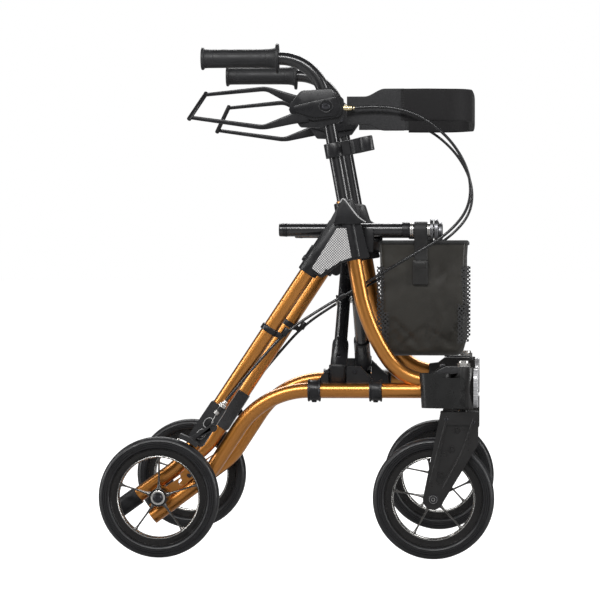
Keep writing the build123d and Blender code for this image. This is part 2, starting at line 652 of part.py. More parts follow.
SHOE_ANGLE = 62.0  # where the shoe meets the tyre, about the axle, from level ahead
SHOE_HALF_ANGLE = 9.0
SHOE_GAP = 3.5
SHOE_THICK = 8.0
ARM_THICK = 5.0
shoe_mid_r = WHEEL_R + SHOE_GAP + SHOE_THICK / 2
shoe_mid = (shoe_mid_r * cos(radians(SHOE_ANGLE)), WHEEL_R + shoe_mid_r * sin(radians(SHOE_ANGLE)))
with BuildPart() as brake_shoe:
    with BuildSketch(side_plane(-TRACK_Y + 12, 0, WHEEL_R)):
        Circle(WHEEL_R + SHOE_GAP + SHOE_THICK)
        Circle(WHEEL_R + SHOE_GAP, mode=Mode.SUBTRACT)
        low, high = radians(SHOE_ANGLE - SHOE_HALF_ANGLE), radians(SHOE_ANGLE + SHOE_HALF_ANGLE)
        far = 2 * WHEEL_R
        wedge = [(0, 0), (far * cos(low), far * sin(low)), (far * cos(high), far * sin(high))]
        Polygon(*wedge, align=None, mode=Mode.INTERSECT)
    extrude(amount=24)
    with BuildSketch(side_plane(-CARRIER_OUT - 0.5)):
        Polygon(*bar_outline([SHOE_PIVOT, shoe_mid], (12, 7)), align=None)
        with Locations(SHOE_PIVOT):
            Circle(7)
    extrude(amount=ARM_THICK + 4)
    with BuildSketch(side_plane(-CARRIER_OUT + 5, *SHOE_PIVOT)):
        Circle(SHOE_PIN_R + RUN_GAP)
    extrude(amount=40, mode=Mode.SUBTRACT)
write_pair(brake_shoe.part, "brake_shoe")

# Brake cable, from the lever's anchor to the carrier's guide ------------------------------------------------
CABLE_R = 2.5
GUIDE_TOP = (GUIDE_FOOT[0] + GUIDE_DIR[0] * GUIDE_LEN, GUIDE_FOOT[1] + GUIDE_DIR[2] * GUIDE_LEN)
CABLE_ROUTE = [
    (ANCHOR_END + 0.3, -ANCHOR_Y, ANCHOR_Z),
    (366, -253, 748),
    (430, -254, 733),
    (483, -254, 690),
    (514, -253, 634),
    (513, -252, 578),
    (476, -250, 534),
    (420, -245, 501),
    (364, -232, 468),
    (316, -222, 440),
    (262, -228, 409),
    (207, -243, 372),
    (160, -253, 320),
    (118, -CABLE_OUT, 269),
    (GUIDE_TOP[0], -CABLE_OUT, GUIDE_TOP[1]),
]


def route_radii(points):
    """For each corner of a route, the radius of the largest arc that its two runs leave room for."""
    radii = []
    for before, at, after in zip(points, points[1:], points[2:]):
        run_in, run_out = Vector(*at) - Vector(*before), Vector(*after) - Vector(*at)
        half_turn = radians(run_in.get_angle(run_out)) / 2
        radii.append(0.45 * min(run_in.length, run_out.length) / tan(half_turn))
    return radii


cable_points = [(REAR_X + x, y, z) for x, y, z in CABLE_ROUTE]
cable_radii = route_radii(cable_points)
print("cable bend radii, mm:", [round(r) for r in cable_radii])
with BuildPart() as brake_cable:
    with BuildLine() as route:
        FilletPolyline(*cable_points, radius=cable_radii)
    with BuildSketch(Plane(origin=route.line @ 0, z_dir=route.line % 0)):
        Circle(CABLE_R)
    sweep(path=route.line)
print("cable length, mm:", round(route.wires()[0].length))
write_pair(brake_cable.part, "brake_cable")

# Soft parts --------------------------------------------------------------------------------------------------
SEAT_X = (212.0, 402.0)
SEAT_Z = 543.0
SEAT_THICK = 4.0
with BuildPart() as seat_sling:
    with BuildSketch(Plane(origin=(REAR_X + (SEAT_X[0] + SEAT_X[1]) / 2, 0, SEAT_Z))):
        Rectangle(SEAT_X[1] - SEAT_X[0], 2 * (FOLD_Y - 28))
        # Hems that reach the bars, fore and aft of the struts' collars
        for hem_start, hem_end in ((SEAT_X[0], 274.0), (337.0, SEAT_X[1])):
            with Locations(((hem_start + hem_end - SEAT_X[0] - SEAT_X[1]) / 2, 0)):
                Rectangle(hem_end - hem_start, 2 * (FOLD_Y - STRUT_R - 0.4))
    extrude(amount=SEAT_THICK)
write(seat_sling.part, "seat_sling")

BAG_X = (361.0, 508.0)
BAG_Z = (331.0, 524.0)
BAG_Y = 203.0
BAG_WALL = 3.0
with BuildPart() as front_bag:
    with BuildSketch(Plane(origin=(REAR_X + (BAG_X[0] + BAG_X[1]) / 2, 0, BAG_Z[0]))):
        RectangleRounded(BAG_X[1] - BAG_X[0], 2 * BAG_Y, 12)
    extrude(amount=BAG_Z[1] - BAG_Z[0])
    with BuildSketch(Plane(origin=(REAR_X + (BAG_X[0] + BAG_X[1]) / 2, 0, BAG_Z[0] + BAG_WALL))):
        RectangleRounded(BAG_X[1] - BAG_X[0] - 2 * BAG_WALL, 2 * (BAG_Y - BAG_WALL), 9)
    extrude(amount=BAG_Z[1] - BAG_Z[0], mode=Mode.SUBTRACT)
write(front_bag.part, "front_bag")

STRAP_START = 309.0
STRAP_FRONT = 512.0
STRAP_Y = 236.0
STRAP_THICK = 8.0
STRAP_Z = (706.0, 776.0)
NECK_END = 374.0  # the end tongues are narrower from the post to here
NECK_Z = (716.0, 763.0)
BAND_START = 404.0  # the padded band, sewn to the tongues here, has a higher lower edge
BAND_Z = 722.0
strap_line = [
    (REAR_X + STRAP_START, -STRAP_Y),
    (REAR_X + STRAP_FRONT, -STRAP_Y + 6),
    (REAR_X + STRAP_FRONT, STRAP_Y - 6),
    (REAR_X + STRAP_START, STRAP_Y),
]
with BuildPart() as back_strap:
    with BuildSketch(Plane.XY.offset(STRAP_Z[0])):
        with BuildLine():
            FilletPolyline(*strap_line, radius=90)
        trace(line_width=STRAP_THICK)
    extrude(amount=STRAP_Z[1] - STRAP_Z[0])
    for low_z, high_z in ((STRAP_Z[0], NECK_Z[0]), (NECK_Z[1], STRAP_Z[1])):
        with BuildSketch(side_plane(400)):
            with BuildLine():
                inner = NECK_Z[0] if low_z == STRAP_Z[0] else NECK_Z[1]
                outer = low_z - 5 if low_z == STRAP_Z[0] else high_z + 5
                Polyline((300, inner), (NECK_END - 22, inner), (NECK_END, outer), (300, outer), close=True)
            make_face()
        extrude(amount=800, mode=Mode.SUBTRACT)
    with BuildSketch(side_plane(400, BAND_START)):
        Polygon((0, BAND_Z), (200, BAND_Z), (200, BAND_Z - 60), (0, BAND_Z - 60), align=None)
    extrude(amount=800, mode=Mode.SUBTRACT)
write(back_strap.part, "back_strap")
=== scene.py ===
"""Looks of the rollator walker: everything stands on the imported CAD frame, in metres.

Pieces are drawn in millimetres in "side" coordinates, as the CAD is: x forward of the rear axle,
y to the left, z above the floor. Right-hand pieces are built, and the left-hand ones are their mirror images.
"""

from math import atan2, copysign, cos, pi, radians, sin

import bmesh
import bpy
from mathutils import Matrix, Vector, noise


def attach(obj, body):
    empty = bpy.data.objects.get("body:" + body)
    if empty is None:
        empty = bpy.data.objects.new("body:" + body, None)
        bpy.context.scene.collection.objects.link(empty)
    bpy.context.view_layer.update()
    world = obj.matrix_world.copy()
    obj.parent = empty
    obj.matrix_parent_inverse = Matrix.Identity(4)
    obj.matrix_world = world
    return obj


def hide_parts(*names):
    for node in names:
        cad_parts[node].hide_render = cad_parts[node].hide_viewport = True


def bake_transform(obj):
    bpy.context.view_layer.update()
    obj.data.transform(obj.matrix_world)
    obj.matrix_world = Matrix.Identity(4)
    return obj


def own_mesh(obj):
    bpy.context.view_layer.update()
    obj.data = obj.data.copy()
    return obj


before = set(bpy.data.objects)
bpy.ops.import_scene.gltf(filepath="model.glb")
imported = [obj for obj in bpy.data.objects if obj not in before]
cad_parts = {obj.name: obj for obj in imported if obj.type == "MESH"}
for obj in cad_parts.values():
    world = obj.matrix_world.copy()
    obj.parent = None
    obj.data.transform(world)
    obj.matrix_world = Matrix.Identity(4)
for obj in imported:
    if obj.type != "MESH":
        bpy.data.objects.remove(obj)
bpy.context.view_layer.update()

WHEELBASE = 453.5
REAR_X = -WHEELBASE / 2
WHEEL_R = 100.0
TRACK_Y = 280.0
FRAME_Y = 243.0
FOLD_Y = 208.0
POST_LEAN = radians(10.3)
TUBE_BORE = 12.7  # radius inside what is moulded round a tube
CABLE_BORE = 2.6
BAR_BORE = 11.05
GRIP_Z = 826.0
GRIP_X = 132.0  # the middle of the grip's marked panel
SEAT_BAR_Z = 542.0
PIVOT = (275.4, 745.5)
SIDES = (("right", 1), ("left", -1))
FORWARD = Vector((1, 0, 0))
UP = Vector((0, 0, 1))
OUT = Vector((0, -1, 0))  # away from the middle, on the right-hand side


# Mesh helpers -----------------------------------------------------------------
def at(x, y, z):
    """A point in side coordinates, in metres in the row frame."""
    return Vector(((x + REAR_X) / 1000, y / 1000, z / 1000))


def new_mesh(name, points, faces):
    mesh = bpy.data.meshes.new(name)
    mesh.from_pydata([at(*p) for p in points], [], faces)
    bm = bmesh.new()
    bm.from_mesh(mesh)
    bmesh.ops.remove_doubles(bm, verts=bm.verts, dist=2e-6)
    bmesh.ops.recalc_face_normals(bm, faces=bm.faces)
    bm.to_mesh(mesh)
    bm.free()
    return mesh


def linked(name, data):
    """A new object in the scene."""
    obj = bpy.data.objects.new(name, data)
    bpy.context.scene.collection.objects.link(obj)
    return obj


def finished_mesh(obj):
    """The mesh of an object with its modifiers applied, or of a curve with its steps worked out."""
    bpy.context.view_layer.update()
    return bpy.data.meshes.new_from_object(obj.evaluated_get(bpy.context.evaluated_depsgraph_get()))


def piece(name, meshes, look, bevel=0.0, smooth=35, thick=0.0):
    """One object made of meshes, with its edges rounded by bevel millimetres."""
    mesh = bpy.data.meshes.new(name)
    bm = bmesh.new()
    for part in meshes:
        bm.from_mesh(part)
    bm.to_mesh(mesh)
    bm.free()
    obj = linked(name, mesh)
    if thick:
        wall = obj.modifiers.new("wall", "SOLIDIFY")
        wall.thickness, wall.offset = thick / 1000, 0
    if bevel:
        round_off = obj.modifiers.new("edges", "BEVEL")
        round_off.width, round_off.segments = bevel / 1000, 2
        round_off.limit_method, round_off.angle_limit = "ANGLE", radians(38)
    if thick or bevel:
        mesh = finished_mesh(obj)
        obj.modifiers.clear()
        obj.data = mesh
    obj.data.materials.clear()
    obj.data.materials.append(look.material)
    for face in obj.data.polygons:
        face.use_smooth = True
    obj.data.set_sharp_from_angle(angle=radians(smooth))
    return obj


def mirrored(obj, name):
    """The left-hand copy of a right-hand piece."""
    copy = linked(name, obj.data.copy())
    copy.data.transform(Matrix.Scale(-1, 4, (0, 1, 0)))
    copy.data.flip_normals()
    return copy


def place(obj, body, slot, *nodes):
    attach(obj, body)
    if nodes:
        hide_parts(*nodes)
    return obj


def pair(name, meshes, look, body, slot, node=None, **shape):
    """A right-hand piece and its mirror image, each riding on its own side's body."""
    right = piece(f"right_{name}", meshes, look, **shape)
    left = mirrored(right, f"left_{name}")
    for obj, side in ((right, "right"), (left, "left")):
        place(obj, f"{side}_{body}", slot, *([f"{side}_{node}"] if node else []))
    return right, left


def rings_mesh(rings, closed_end=True, loop=False):
    """A skin over rings of points with the same number in each."""
    n = len(rings[0])
    points = [p for r in rings for p in r]
    faces = []
    last = len(rings) if loop else len(rings) - 1
    for i in range(last):
        a, b = i * n, (i + 1) % len(rings) * n
        faces += [(a + k, a + (k + 1) % n, b + (k + 1) % n, b + k) for k in range(n)]
    if closed_end and not loop:
        faces.append(tuple(range(n - 1, -1, -1)))
        faces.append(tuple(range((len(rings) - 1) * n, len(rings) * n)))
    return new_mesh("skin", points, faces)


def frame_of(axis):
    axis = Vector(axis).normalized()
    side = axis.cross(UP if abs(axis.z) < 0.9 else FORWARD).normalized()
    return axis, side, axis.cross(side)


def circle(n):
    """The angles of n points round a circle."""
    return [2 * pi * k / n for k in range(n)]


def lathe(centre, axis, profile, n=64, closed=True):
    """A turned form. The profile is (distance along the axis, radius) pairs."""
    axis, u, v = frame_of(axis)
    rings = []
    for along, radius in profile:
        middle = Vector(centre) + axis * along
        rings.append([middle + (u * cos(t) + v * sin(t)) * max(radius, 1e-4) for t in circle(n)])
    return rings_mesh(rings, closed_end=not closed, loop=closed)


def disc(centre, axis, radius, length, edge=0.4, n=32, bore=0.0, depth=0.0):
    """A turned disc or pin standing along axis from centre, with softened edges and maybe a socket."""
    profile = [(0, radius), (length - edge, radius), (length, radius - edge)]
    if bore:
        profile += [(length, bore), (length - depth, bore), (length - depth, 0)]
    else:
        profile += [(length, 0)]
    return lathe(centre, axis, profile, n, closed=False)


def superellipse(u, v, a, b, power=2.0, n=20):
    """Offsets of a rounded section, a along u and b along v."""
    out = []
    for t in circle(n):
        along_u, along_v = (copysign(abs(share) ** (2 / power), share) for share in (cos(t), sin(t)))
        out.append(u * (a * along_u) + v * (b * along_v))
    return out


def spline(points, steps):
    """Points along a smooth curve through the given points."""
    pts = [Vector(p) for p in points]
    ends = [2 * pts[0] - pts[1], *pts, 2 * pts[-1] - pts[-2]]
    out = []
    for i in range(len(pts) - 1):
        p0, p1, p2, p3 = ends[i : i + 4]
        for k in range(steps):
            t = k / steps
            square, cube = 2 * p0 - 5 * p1 + 4 * p2 - p3, 3 * p1 - p0 - 3 * p2 + p3
            out.append(0.5 * (2 * p1 + (p2 - p0) * t + square * t**2 + cube * t**3))
    return [*out, pts[-1]]


def swept(path, half_sizes, side=(0, 1, 0), power=2.0, n=20):
    """A bar along path. half_sizes gives (half width along side, half height) at each point."""
    rings = []
    for i, p in enumerate(path):
        run = (path[min(i + 1, len(path) - 1)] - path[max(i - 1, 0)]).normalized()
        u = Vector(side)
        u = (u - run * u.dot(run)).normalized()
        a, b = half_sizes[i]
        rings.append([p + o for o in superellipse(u, run.cross(u), a, b, power, n)])
    return rings_mesh(rings)


def slab(outline, y0, y1):
    """A flat plate in the side plane between two widths."""
    n = len(outline)
    points = [(x, y0, z) for x, z in outline] + [(x, y1, z) for x, z in outline]
    faces = [tuple(range(n)), tuple(range(2 * n - 1, n - 1, -1))]
    faces += [(k, (k + 1) % n, n + (k + 1) % n, n + k) for k in range(n)]
    return new_mesh("slab", points, faces)


def corner_curve(start, corner, end, steps):
    """Points of the curve that rounds a corner."""
    shares = [k / steps for k in range(steps + 1)]
    return [start * (1 - t) ** 2 + corner * 2 * t * (1 - t) + end * t**2 for t in shares]


def rounded(outline, radius, steps=4):
    """An outline with its corners rounded."""
    out = []
    n = len(outline)
    for i in range(n):
        p = Vector(outline[i])
        a, b = Vector(outline[i - 1]) - p, Vector(outline[(i + 1) % n]) - p
        r = min(radius, a.length * 0.45, b.length * 0.45)
        start, end = p + a.normalized() * r, p + b.normalized() * r
        out += [tuple(q) for q in corner_curve(start, p, end, steps)]
    return out


def block(centre, x_dir, z_dir, size):
    """A box with its own directions."""
    x, z = Vector(x_dir).normalized(), Vector(z_dir).normalized()
    y = z.cross(x)
    ends = (-0.5, 0.5)
    points = [
        Vector(centre) + x * size[0] * i + y * size[1] * j + z * size[2] * k
        for i in ends for j in ends for k in ends
    ]
    faces = [(0, 1, 3, 2), (4, 6, 7, 5), (0, 4, 5, 1), (2, 3, 7, 6), (0, 2, 6, 4), (1, 5, 7, 3)]
    return new_mesh("block", points, faces)


# Materials --------------------------------------------------------------------
class Look:
    """A material in the making: a Principled shader and the nodes that vary it."""

    def __init__(self, name, color, roughness, metallic=0.0, **sockets):
        self.material = bpy.data.materials.new(name)
        self.material.use_nodes = True
        self.nodes, self.links = self.material.node_tree.nodes, self.material.node_tree.links
        self.shader = self.nodes["Principled BSDF"]
        self.color = color
        self.shader.inputs["Base Color"].default_value = (*color, 1)
        self.shader.inputs["Roughness"].default_value = roughness
        self.shader.inputs["Metallic"].default_value = metallic
        for socket, value in sockets.items():
            self.shader.inputs[socket.replace("_", " ")].default_value = value
        self.where = self.nodes.new("ShaderNodeTexCoord").outputs["Object"]
        self.height = None

    def scaled(self, scale, turn=(0, 0, 0)):
        mapping = self.nodes.new("ShaderNodeMapping")
        mapping.inputs["Scale"].default_value = scale
        mapping.inputs["Rotation"].default_value = turn
        self.links.new(self.where, mapping.inputs["Vector"])
        return mapping.outputs["Vector"]

    def noise(self, scale, detail=3.0, stretch=None, distortion=0.0):
        node = self.nodes.new("ShaderNodeTexNoise")
        node.inputs["Scale"].default_value = scale
        node.inputs["Detail"].default_value = detail
        node.inputs["Distortion"].default_value = distortion
        self.links.new(self.scaled(stretch) if stretch else self.where, node.inputs["Vector"])
        return node.outputs["Fac"]

    def cells(self, scale, stretch, turn=(0, 0, 0), randomness=0.0):
        """Distance from the middle of each cell of a lattice."""
        node = self.nodes.new("ShaderNodeTexVoronoi")
        node.inputs["Scale"].default_value = scale
        node.inputs["Randomness"].default_value = randomness
        self.links.new(self.scaled(stretch, turn), node.inputs["Vector"])
        return node.outputs["Distance"]

    def waves(self, scale, direction, distortion=0.0, turn=(0, 0, 0)):
        node = self.nodes.new("ShaderNodeTexWave")
        node.bands_direction = direction
        node.inputs["Scale"].default_value = scale
        node.inputs["Distortion"].default_value = distortion
        self.links.new(self.scaled((1, 1, 1), turn), node.inputs["Vector"])
        return node.outputs["Fac"]

    def band(self, value, low, high, out_low=0.0, out_high=1.0):
        node = self.nodes.new("ShaderNodeMapRange")
        node.interpolation_type = "SMOOTHSTEP"
        limits = {"From Min": low, "From Max": high, "To Min": out_low, "To Max": out_high}
        for socket, number in limits.items():
            node.inputs[socket].default_value = number
        self.links.new(value, node.inputs["Value"])
        return node.outputs["Result"]

    def math(self, operation, a, b):
        node = self.nodes.new("ShaderNodeMath")
        node.operation = operation
        for socket, value in zip(node.inputs, (a, b)):
            if isinstance(value, (int, float)):
                socket.default_value = value
            else:
                self.links.new(value, socket)
        return node.outputs["Value"]

    def tint(self, factor, color):
        """Mixes the base colour towards another where factor is high."""
        mix = self.nodes.new("ShaderNodeMix")
        mix.data_type = "RGBA"
        self.links.new(factor, mix.inputs["Factor"])
        source = self.shader.inputs["Base Color"]
        if source.is_linked:
            self.links.new(source.links[0].from_socket, mix.inputs[6])
        else:
            mix.inputs[6].default_value = (*self.color, 1)
        mix.inputs[7].default_value = (*color, 1)
        self.links.new(mix.outputs[2], source)
        return self

    def rough(self, value, low, high):
        self.links.new(self.band(value, 0.3, 0.7, low, high), self.shader.inputs["Roughness"])
        return self

    def bump(self, value, strength, distance):
        node = self.nodes.new("ShaderNodeBump")
        node.inputs["Strength"].default_value = strength
        node.inputs["Distance"].default_value = distance / 1000
        self.links.new(value, node.inputs["Height"])
        if self.height:
            self.links.new(self.height, node.inputs["Normal"])
        self.height = node.outputs["Normal"]
        self.links.new(self.height, self.shader.inputs["Normal"])
        return self


def moulded(name, color, roughness, grain=0.25, **sockets):
    """Fine-grained moulded plastic, a little uneven in tone and polish."""
    look = Look(name, color, roughness, **{"Specular_IOR_Level": 0.36, **sockets})
    look.tint(look.band(look.noise(24, 3), 0.42, 0.75), [c * 1.45 for c in color])
    look.rough(look.noise(60, 4), roughness - 0.07, roughness + 0.08)
    return look.bump(look.noise(1400, 2), grain * 0.3, 0.06)


def metal(name, color, roughness):
    """Bare metal, a little uneven in tone."""
    look = Look(name, color, roughness, 1.0)
    look.tint(look.band(look.noise(18, 2), 0.4, 0.8), [c * 0.82 for c in color])
    look.rough(look.noise(300, 3), roughness - 0.06, roughness + 0.08)
    return look.bump(look.noise(900, 2), 0.015, 0.03)


gold = Look("gold_anodised", (0.54, 0.215, 0.034), 0.34, 1.0, Coat_Weight=0.8, Coat_Roughness=0.26)
gold.tint(gold.band(gold.noise(6, 2), 0.35, 0.75), (0.49, 0.19, 0.028))
gold.rough(gold.noise(14, 2), 0.31, 0.36)

black_tube = Look("black_anodised", (0.009, 0.009, 0.010), 0.24, Specular_IOR_Level=0.7)
black_tube.tint(black_tube.band(black_tube.noise(10, 2), 0.45, 0.8), (0.011, 0.011, 0.012))
black_tube.rough(black_tube.noise(30, 2), 0.2, 0.28)

plastic = moulded("black_nylon", (0.008, 0.008, 0.009), 0.36, 0.1)
lever_look = moulded("lever_nylon", (0.008, 0.008, 0.009), 0.30, 0.08)
glossy = moulded("rim_plastic", (0.005, 0.0045, 0.0045), 0.26, 0.06)
fork_look = moulded("fork_nylon", (0.009, 0.0085, 0.0085), 0.34, 0.12)
cup_look = moulded("cup_plastic", (0.009, 0.009, 0.009), 0.27, 0.08)
clip_look = moulded("clip_plastic", (0.008, 0.008, 0.009), 0.34, 0.1)
spoke_metal = metal("spoke_metal", (0.13, 0.125, 0.12), 0.28)
lip_metal = metal("lip_metal", (0.55, 0.54, 0.52), 0.22)
# Light grey on what is black plastic: a painted highlight for the light caught along thin edges and rims.
highlight_edge_look = moulded("painted_highlight_edge", (0.30, 0.30, 0.30), 0.2, 0.02)
steel = metal("zinc_steel", (0.62, 0.61, 0.59), 0.3)
dark_steel = metal("black_bolt", (0.05, 0.05, 0.055), 0.35)
brass = metal("ferrule", (0.72, 0.6, 0.36), 0.3)
carrier_look = moulded("carrier_grey", (0.02, 0.02, 0.021), 0.26, 0.1)

rubber = moulded("grip_rubber", (0.011, 0.011, 0.012), 0.5, 0.2)
tyre_look = moulded("tyre", (0.010, 0.010, 0.011), 0.40, 0.12)
cap_rubber = moulded("cap_rubber", (0.010, 0.010, 0.011), 0.45, 0.2)
shoe_look = moulded("shoe_rubber", (0.012, 0.012, 0.013), 0.5, 0.2)

cable_look = Look("cable_casing", (0.01, 0.01, 0.011), 0.25, Specular_IOR_Level=0.6)
cable_look.rough(cable_look.noise(90, 2), 0.2, 0.3)

panel = Look("prismatic_sheet", (0.62, 0.61, 0.60), 0.4)
panel_dots = panel.cells(330, (1, 0.0, 1), (0, radians(45), 0))
panel.tint(panel.band(panel_dots, 0.30, 0.42), (0.10, 0.10, 0.105))
panel.bump(panel_dots, 0.3, 0.2)

reflector = Look("prismatic_reflector", (0.42, 0.42, 0.43), 0.2, Coat_Weight=0.6, Coat_Roughness=0.05)
reflector_cells = reflector.cells(330, (0.0, 1, 1), (radians(45), 0, 0))
reflector.tint(reflector.band(reflector_cells, 0.28, 0.42), (0.27, 0.27, 0.28))
reflector.bump(reflector_cells, 0.3, 0.2)


def woven(name, color, pitch, roughness, sheen=0.25, strength=0.5, patches=None):
    """A plain weave with threads both ways, and soft uneven patches."""
    look = Look(name, color, roughness, Sheen_Weight=sheen, Sheen_Roughness=0.5, Specular_IOR_Level=0.32)
    along = look.waves(1000 / pitch / 3.14, "Z", 0.4)
    across = look.waves(1000 / pitch / 3.14, "DIAGONAL", 0.4, (0, 0, radians(45)))
    weave = look.math("MAXIMUM", along, across)
    look.tint(look.band(weave, 0.25, 0.9), [c * 1.7 for c in color])
    if patches:
        look.tint(look.band(look.noise(11, 3, (1, 1, 0.8), 0.6), 0.42, 0.72), patches)
    look.rough(look.noise(70, 3), roughness - 0.08, roughness + 0.08)
    return look.bump(weave, strength, 0.15)


seat_look = woven("seat_weave", (0.009, 0.009, 0.010), 1.1, 0.65, 0.1)
bag_look = woven("bag_nylon", (0.017, 0.0158, 0.0135), 0.55, 0.38, 0.05, 0.04, (0.027, 0.025, 0.021))
web_look = woven("webbing", (0.010, 0.010, 0.010), 1.3, 0.6, 0.1, 0.5)
patch_look = moulded("bag_patch", (0.016, 0.0155, 0.015), 0.4, 0.3)

mesh_look = Look("bag_mesh", (0.03, 0.03, 0.032), 0.6)
holes = mesh_look.cells(200, (1, 0, 1), (0, radians(45), 0), 0.1)
mesh_look.tint(mesh_look.band(holes, 0.28, 0.4), (0.012, 0.012, 0.013))
mesh_look.links.new(mesh_look.band(holes, 0.30, 0.36), mesh_look.shader.inputs["Alpha"])
mesh_look.bump(holes, 0.6, 0.6)

felt = Look("felt_foam", (0.012, 0.012, 0.013), 0.9, Sheen_Weight=0.12, Sheen_Roughness=0.6)
felt.tint(felt.band(felt.noise(700, 4), 0.5, 0.75), (0.030, 0.030, 0.032))
felt.bump(felt.noise(1100, 4), 0.8, 0.35)
band_look = Look(
    "padded_band", (0.005, 0.0045, 0.005), 0.7,
    Sheen_Weight=0.02, Sheen_Roughness=0.5, Specular_IOR_Level=0.25,
)
band_look.tint(band_look.band(band_look.noise(900, 3), 0.5, 0.8), (0.012, 0.012, 0.013))
band_look.bump(band_look.noise(1500, 3), 0.5, 0.2)

CAD_LOOKS = {
    "rear_leg": gold, "lower_tube": gold, "front_tube": gold, "axle_plate": gold, "tip_cap": cap_rubber,
    "side_panel": panel, "hinge_bracket": plastic, "cross_strut": black_tube,
    "seat_bar": black_tube, "handle_post": black_tube, "brake_housing": lever_look, "cane_clip": clip_look,
    "caster_housing": fork_look, "fork": fork_look, "front_reflector": reflector, "rear_bearings": steel,
    "rear_axle": dark_steel, "caster_hardware": steel, "brake_carrier": carrier_look, "brake_shoe": shoe_look,
    "centre_pin": steel, "cane_cup": cup_look,
}
BEVELS = {
    "hinge_bracket": 1.6, "brake_housing": 2.0, "cane_clip": 1.2, "caster_housing": 2.0,
    "fork": 2.0, "brake_carrier": 1.6, "brake_shoe": 1.2, "axle_plate": 0.8, "centre_pin": 0.6,
}
for node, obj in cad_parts.items():
    kind = node.removeprefix("right_").removeprefix("left_")
    if kind in CAD_LOOKS:
        obj.data.materials.clear()
        obj.data.materials.append(CAD_LOOKS[kind].material)
        for face in obj.data.polygons:
            face.material_index = 0
    if kind in BEVELS:
        weld = obj.modifiers.new("weld", "WELD")
        weld.merge_threshold = 2e-6
        soft = obj.modifiers.new("edges", "BEVEL")
        soft.width, soft.segments, soft.harden_normals = BEVELS[kind] / 1000, 2, True
        soft.limit_method, soft.angle_limit = "ANGLE", radians(40)

# Camera, floor and light ------------------------------------------------------
camera = linked("camera", bpy.data.cameras.new("camera"))
camera.location = (0.319, -5.322, 0.495)
aim = Vector((0.007, -0.282, 0.426)) - camera.location
camera.rotation_mode = "QUATERNION"
camera.rotation_quaternion = aim.to_track_quat("-Z", "Y")
camera.data.lens, camera.data.sensor_width = 184, 36
camera.data.clip_end = 200
bpy.context.scene.camera = camera

floor_mesh = bpy.data.meshes.new("floor")
floor_mesh.from_pydata([(-60, -60, 0), (60, -60, 0), (60, 60, 0), (-60, 60, 0)], [], [(0, 1, 2, 3)])
floor = linked("floor", floor_mesh)
floor_look = Look("floor", (0.40, 0.40, 0.40), 0.8)
floor_look.tint(floor_look.band(floor_look.noise(3, 2), 0.3, 0.8), (0.41, 0.41, 0.41))
floor_mesh.materials.append(floor_look.material)


def seen_white(tree, shader, strength, output, kind):
    """Adds white light to what is seen directly, so that the backdrop is as bright as the studio's."""
    seen = tree.nodes.new("ShaderNodeLightPath")
    glow = tree.nodes.new("ShaderNodeEmission" if kind == "floor" else "ShaderNodeBackground")
    glow.inputs["Color"].default_value = (1, 1, 1, 1)
    glow.inputs["Strength"].default_value = strength
    if kind == "floor":
        both = tree.nodes.new("ShaderNodeAddShader")
        tree.links.new(shader, both.inputs[0])
        tree.links.new(glow.outputs[0], both.inputs[1])
        glow = both
    mix = tree.nodes.new("ShaderNodeMixShader")
    tree.links.new(seen.outputs["Is Camera Ray"], mix.inputs[0])
    tree.links.new(shader, mix.inputs[1])
    tree.links.new(glow.outputs[0], mix.inputs[2])
    tree.links.new(mix.outputs[0], output)


floor_tree = floor_look.material.node_tree
floor_surface = floor_tree.nodes["Material Output"].inputs["Surface"]
seen_white(floor_tree, floor_look.shader.outputs[0], 0.975, floor_surface, "floor")

world = bpy.context.scene.world or bpy.data.worlds.new("studio")
bpy.context.scene.world = world
world.use_nodes = True
sky = world.node_tree.nodes["Background"]
sky.inputs["Color"].default_value = (1, 1, 1, 1)
sky.inputs["Strength"].default_value = 0.10
world_surface = world.node_tree.nodes["World Output"].inputs["Surface"]
seen_white(world.node_tree, sky.outputs[0], 1.0, world_surface, "sky")


LIT = Vector((0, 0, 0.4))  # what the lights are turned to


def softbox(name, where, size, power):
    light = linked(name, bpy.data.lights.new(name, "AREA"))
    light.data.shape, light.data.size, light.data.size_y = "RECTANGLE", size[0], size[1]
    light.data.energy = power
    light.location = where
    light.rotation_mode = "QUATERNION"
    light.rotation_quaternion = (LIT - Vector(where)).to_track_quat("-Z", "Y")


softbox("key", (-0.5, -2.6, 2.3), (3.4, 0.4), 104)
softbox("front", (0.6, -4.6, 0.9), (3.0, 1.6), 7)
softbox("rim", (0.2, 2.2, 2.4), (3.2, 0.9), 75)
softbox("left_strip", (-2.4, -0.6, 1.0), (0.5, 2.2), 34)
softbox("right_strip", (2.4, -0.8, 1.0), (0.5, 2.2), 40)
bpy.context.scene.view_settings.view_transform = "Standard"

# Wheels -----------------------------------------------------------------------
TYRE_HALF = [
    (11, 81), (12.4, 81.4), (13.9, 83.2), (14.5, 84.9), (13.2, 85.3), (13.2, 85.9), (14.9, 86.3),
    (15, 88), (13.4, 88.4), (13.4, 89), (15, 89.4), (14.9, 91.2), (13.1, 91.6), (13, 92.2),
    (14.6, 92.6), (13.8, 94.8), (12.3, 96.8), (10, 98.5), (8.6, 99.1), (8.3, 98.4), (7.7, 98.6),
    (7.4, 99.5), (5.6, 99.8), (5.3, 99), (4.7, 99), (4.4, 99.9), (2.6, 100), (2.3, 99.2),
    (1.7, 99.2), (1.4, 100), (0, 100),
]
RIM_HALF = [
    (11, 81), (11.7, 80.6), (11.8, 79.4), (10.9, 78.6), (10.5, 75), (10, 71), (10.4, 69.4),
    (10.1, 68.2), (9, 67.6), (7.6, 67.2), (6.5, 66.6), (0, 66.2),
]
HUB_HALF = [
    (0, 13), (9, 13.4), (12, 14.6), (16.2, 14.8), (17, 14.2), (17, 12.4), (16.2, 12),
    (16.2, 11.1),
]
LIP_HALF = [(9.6, 68.6), (10.9, 68.5), (11.2, 67.6), (10.6, 66.8), (8.6, 66), (6.6, 65.7), (6.6, 67.2)]
